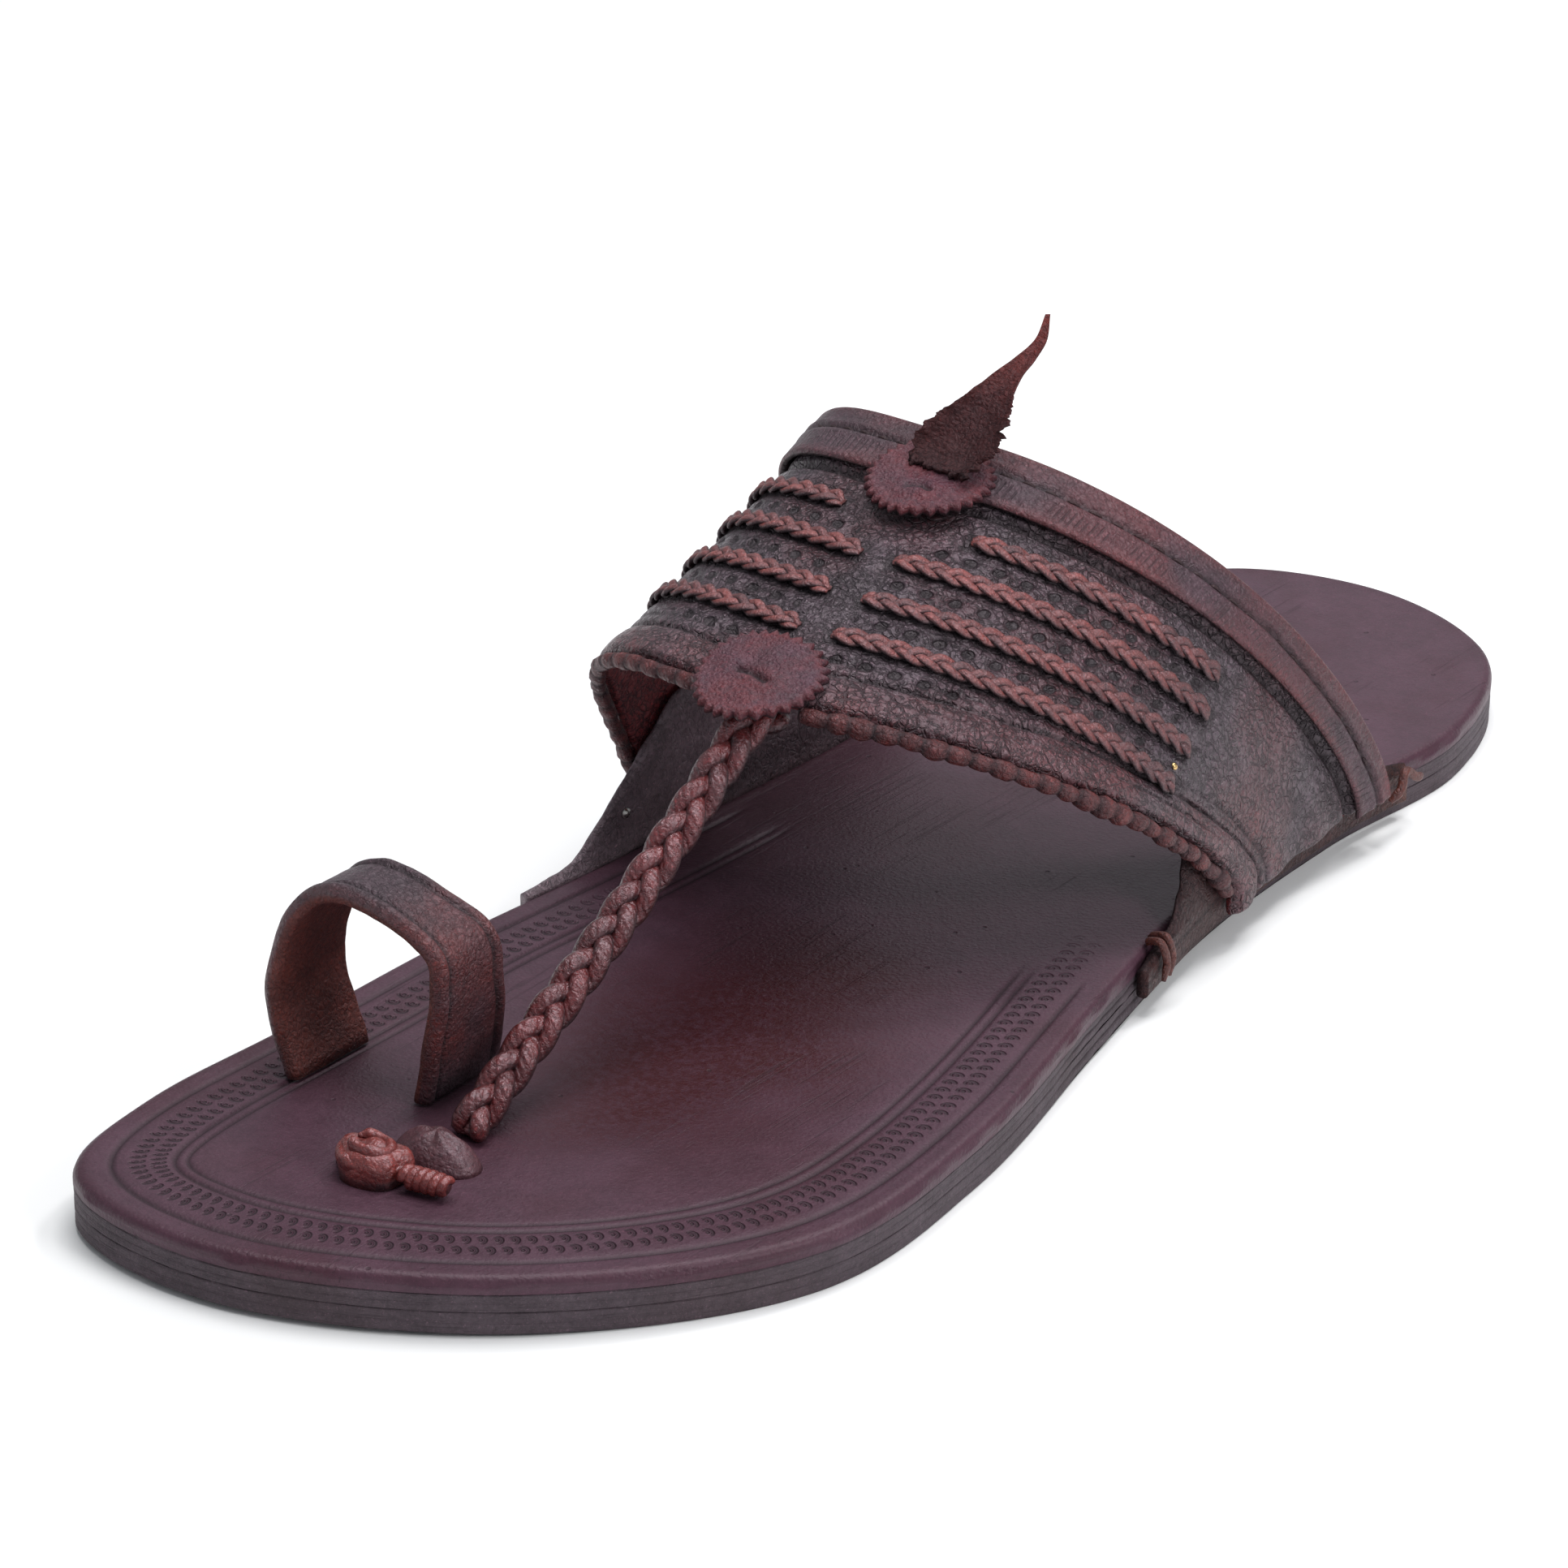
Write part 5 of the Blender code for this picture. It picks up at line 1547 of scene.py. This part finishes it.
def make_materials():
    """All the finishes, each with its own values in the shared groups."""
    groups = {"grain": grain_group(), "tone": tone_group()}
    kinds = {
        # The footbed's rubbed colour is the deep red of its painted reflection as well as of its rubbed edge.
        "footbed": dict(
            dye=(0.056, 0.025, 0.038), rubbed_and_painted_light=(0.034, 0.0025, 0.0045), grain=0.7, crackle=0.04,
            depth=0.07, patches=0.3, gloss=0.80, shine=0.36, mottle=0.4, extra=stamped_border),
        "sole_edge": dict(
            dye=(0.072, 0.055, 0.066), rubbed_and_painted_light=(0.045, 0.022, 0.020), grain=0.9, crackle=0.25,
            depth=0.12, patches=0.2, gloss=0.5, shine=0.4, mottle=0.6, extra=cut_layers),
        "band": dict(
            dye=(0.064, 0.045, 0.056), rubbed_and_painted_light=(0.125, 0.024, 0.024), flesh=(0.190, 0.026, 0.028),
            grain=1.0, crackle=1.1, depth=0.42, patches=0.3, gloss=1.1, shine=0.75, mottle=0.95,
            extra=punched_holes),
        "collar": dict(
            dye=(0.054, 0.027, 0.036), rubbed_and_painted_light=(0.140, 0.025, 0.024), grain=0.8, crackle=0.35,
            depth=0.28, patches=0.4, gloss=0.85, shine=0.6, extra=stamped_ticks),
        "strap": dict(
            dye=(0.048, 0.028, 0.036), rubbed_and_painted_light=(0.130, 0.022, 0.018), flesh=(0.130, 0.024, 0.014),
            grain=0.75, crackle=0.4, depth=0.32, patches=0.35, gloss=0.85, shine=0.65),
        "mound": dict(
            dye=(0.080, 0.038, 0.050), rubbed_and_painted_light=(0.110, 0.024, 0.024), grain=0.8, crackle=0.15,
            depth=0.16, patches=0.3, gloss=0.95, shine=0.7),
        # Painted sheen: the inner ear's dye is made pale to stand in for the glossy reflection of the bright
        # surround on it.
        "ear_inner": dict(
            dye=(0.240, 0.185, 0.215), rubbed_and_painted_light=(0.150, 0.036, 0.012), flesh=(0.030, 0.008, 0.008),
            grain=1.0, crackle=0.5, depth=0.16, patches=0.1, gloss=1.1, shine=1.0),
        "ear_outer": dict(
            dye=(0.026, 0.014, 0.017), rubbed_and_painted_light=(0.170, 0.040, 0.012), flesh=(0.016, 0.005, 0.006),
            grain=0.9, crackle=0.6, depth=0.24, patches=0.15, gloss=0.8, shine=0.3),
        "lace": dict(
            dye=(0.050, 0.012, 0.007), rubbed_and_painted_light=(0.115, 0.023, 0.010), grain=0.6, crackle=0.4, depth=0.20,
            patches=0.4, gloss=0.8, shine=0.7),
        "roll": dict(
            dye=(0.034, 0.008, 0.009), rubbed_and_painted_light=(0.125, 0.017, 0.014), grain=0.8, crackle=0.4, depth=0.34,
            patches=0.3, gloss=0.8, shine=0.65),
        # The plaits' rubbed red is also the painted highlight on the strands' tops.
        "plait": dict(
            dye=(0.045, 0.019, 0.022), rubbed_and_painted_light=(0.240, 0.056, 0.048), grain=0.6, crackle=0.3, depth=0.20,
            patches=0.2, gloss=0.95, shine=0.9),
        "cord": dict(
            dye=(0.050, 0.020, 0.022), rubbed_and_painted_light=(0.150, 0.022, 0.022), grain=0.8, crackle=0.3, depth=0.20,
            patches=0.4, gloss=1.2, shine=1.0, extra=strand_ribs),
        "rosette": dict(
            dye=(0.050, 0.024, 0.040), rubbed_and_painted_light=(0.120, 0.017, 0.022), grain=0.65, crackle=0.2,
            depth=0.30, patches=0.45, gloss=0.8, shine=0.6),
        "leaf": dict(
            dye=(0.052, 0.011, 0.012), rubbed_and_painted_light=(0.145, 0.023, 0.018), flesh=(0.036, 0.009, 0.009),
            grain=0.7, crackle=0.35, depth=0.34, patches=0.35, gloss=0.8, shine=0.35),
        "knot": dict(
            dye=(0.095, 0.018, 0.017), rubbed_and_painted_light=(0.200, 0.031, 0.024), grain=0.8, crackle=0.2, depth=0.16,
            patches=0.35, gloss=1.2, shine=1.0),
    }
    finishes = {kind: leather(kind + "_leather", groups, **values) for kind, values in kinds.items()}
    finishes["thread"] = leather(
        "thread_waxed", groups,
        dye=(0.016, 0.008, 0.009), rubbed_and_painted_light=(0.050, 0.014, 0.012), grain=0.35, crackle=0.3, depth=0.10,
        patches=0.2, gloss=0.7, shine=0.5)
    finishes["steel"] = metal("nail_steel", (0.75, 0.73, 0.70))
    finishes["brass"] = metal("nail_brass", (0.80, 0.55, 0.25))
    return finishes


def make_floor():
    """A plain pale floor."""
    mesh = bmesh.new()
    bmesh.ops.create_grid(mesh, x_segments=2, y_segments=2, size=3.0)
    data = bpy.data.meshes.new("floor")
    mesh.to_mesh(data)
    mesh.free()
    floor = bpy.data.objects.new("floor", data)
    bpy.context.scene.collection.objects.link(floor)
    material, tree, shader = new_material("floor_paper")
    spot = add_node(tree, "ShaderNodeTexCoord").outputs["Object"]
    cloud = soft_noise(tree, spot, 3.0, 2.0)
    tree.links.new(blend_colours(tree, cloud, (0.93, 0.93, 0.93, 1.0), (0.96, 0.96, 0.96, 1.0)),
                   shader.inputs["Base Color"])
    shader.inputs["Roughness"].default_value = 0.9
    shader.inputs["Specular IOR Level"].default_value = 0.1
    data.materials.append(material)


def add_light(name, place, target, size, power, tint=(1.0, 1.0, 1.0)):
    """A soft square studio light that looks at a target."""
    data = bpy.data.lights.new(name, "AREA")
    data.size = size
    data.energy = power
    data.color = tint
    light = bpy.data.objects.new(name, data)
    light.location = place
    light.rotation_euler = (Vector(target) - Vector(place)).to_track_quat("-Z", "Y").to_euler()
    bpy.context.scene.collection.objects.link(light)


def make_studio():
    """Soft light from above and the sides, a pale surround, and the photograph's camera."""
    world = bpy.data.worlds.new("studio")
    world.use_nodes = True
    ground = world.node_tree.nodes["Background"]
    ground.inputs["Color"].default_value = (0.90, 0.95, 1.0, 1.0)
    ground.inputs["Strength"].default_value = 0.34
    bpy.context.scene.world = world
    add_light("overhead", (0.05, -0.05, 1.10), (0.0, 0.0, 0.0), 0.7, 8.6)
    add_light("outer_side", (-0.85, 0.00, 0.62), (0.0, 0.0, 0.03), 0.35, 4.2)
    add_light("glint", (-0.10, -0.55, 0.85), (0.0, 0.0, 0.03), 0.16, 2.2)
    add_light("behind", (0.50, -0.95, 0.62), (0.0, 0.0, 0.03), 0.6, 0.8, (0.97, 0.95, 1.0))
    camera_data = bpy.data.cameras.new("camera")
    camera_data.sensor_width = 36
    camera_data.lens = CAMERA_LENS
    camera_data.clip_start = 0.01
    camera = bpy.data.objects.new("camera", camera_data)
    turn = Matrix((Vector(CAMERA_RIGHT), -Vector(CAMERA_DOWN), -Vector(CAMERA_AHEAD))).transposed()
    camera.matrix_world = Matrix.Translation(Vector(CAMERA_PLACE)) @ turn.to_4x4()
    bpy.context.scene.collection.objects.link(camera)
    bpy.context.scene.camera = camera
    bpy.context.scene.view_settings.view_transform = "Standard"


def make_sandal(finishes):
    """All the sandal's pieces."""
    make_layer("outsole_leather", "outsole", 0.0, OUTSOLE_THICK, finishes["sole_edge"], 2.0)
    make_layer("midsole_leather", "midsole", OUTSOLE_THICK + FIT_GAP * 0.1, MIDSOLE_THICK + 1.6 * FIT_GAP,
               finishes["sole_edge"], 6.0)
    make_footbed(finishes["footbed"])
    make_band(finishes["band"])
    make_collar(finishes["collar"])
    for side in ("outer", "inner"):
        make_ear(side, finishes["ear_" + side])
        make_roll(side, finishes["roll"])
        for number in range(len(PLAIT_ROWS)):
            make_plait(side, number, finishes["plait"])
    make_rosette("rosette_front_leather", "rosette_front", FRONT_ROSETTE_RADIUS, FRONT_ROSETTE_SHARE,
                 1.2 * MM, FIT_GAP + 0.75 * MM, 0.06, ((-2.6 * MM, -1.2 * MM), (2.4 * MM, -0.2 * MM)),
                 finishes["rosette"], 1.0)
    make_rosette("rosette_rear_leather", "rosette_rear", REAR_ROSETTE_RADIUS, REAR_ROSETTE_SHARE, 0.0,
                 REAR_ROSETTE_LIFT + 0.35 * MM, 0.02, ((-2.2 * MM, -3.4 * MM), (0.8 * MM, -3.6 * MM)),
                 finishes["rosette"], 4.0)
    make_stitches("collar_stitches", collar_stitches(), 0.34 * MM, finishes["thread"])
    make_leaf(finishes["leaf"])
    make_cord(finishes["cord"])
    make_loop(finishes["strap"])
    make_mound(finishes["mound"])
    make_knot(finishes["knot"])
    make_coil(finishes["knot"])
    ear_out = BAND_WALL + FIT_GAP + EAR_WALL
    inner_turn = turn_at_height("inner", -0.12, 6.5 * MM)
    make_nail("ear_nail_inner", on_band(inner_turn, -0.12, -ear_out), -band_frame(inner_turn, -0.12)[1],
              0.9 * MM, finishes["steel"])
    outer_turn = -turn_at_height("outer", -0.10, 2.5 * MM)
    make_nail("ear_nail_outer", on_band(outer_turn, -0.10, -ear_out), -band_frame(outer_turn, -0.10)[1],
              0.5 * MM, finishes["steel"])
    for place, reach in ((-0.50, 0.25), (-0.455, 0.75)):
        inside = -ear_out - 0.5 * MM
        top_turn = -turn_at_height("outer", place, 1.6 * MM)
        make_lace("ear_stitch_%d" % round(-place * 1000), [
            on_band(-1.55, place - 0.01, -BAND_WALL + 0.55 * MM),
            on_band(-1.20, place, -BAND_WALL + 0.75 * MM),
            on_band(top_turn, place + 0.01, -BAND_WALL + 0.2 * MM),
            on_band(top_turn - 0.01, place + 0.02, inside + 0.6 * MM),
            on_band(-1.0, place + 0.02, inside - reach * MM),
        ], 0.62 * MM, finishes["lace"])
    make_lace("ear_tail", [
        on_band(-1.25, 1.02, 0.5 * MM),
        on_band(-1.05, 1.06, 1.1 * MM),
        on_band(-0.98, 1.11, 0.5 * MM),
        on_band(-1.02, 1.17, 0.2 * MM),
        on_band(-1.10, 1.22, -0.6 * MM),
    ], 0.75 * MM, finishes["lace"])
    pin_turn = -0.655
    make_nail("plait_pin", on_band(pin_turn, 0.235, 0.2 * MM), band_frame(pin_turn, 0.235)[1], 0.6 * MM,
              finishes["brass"])


make_studio()
make_floor()
make_sandal(make_materials())
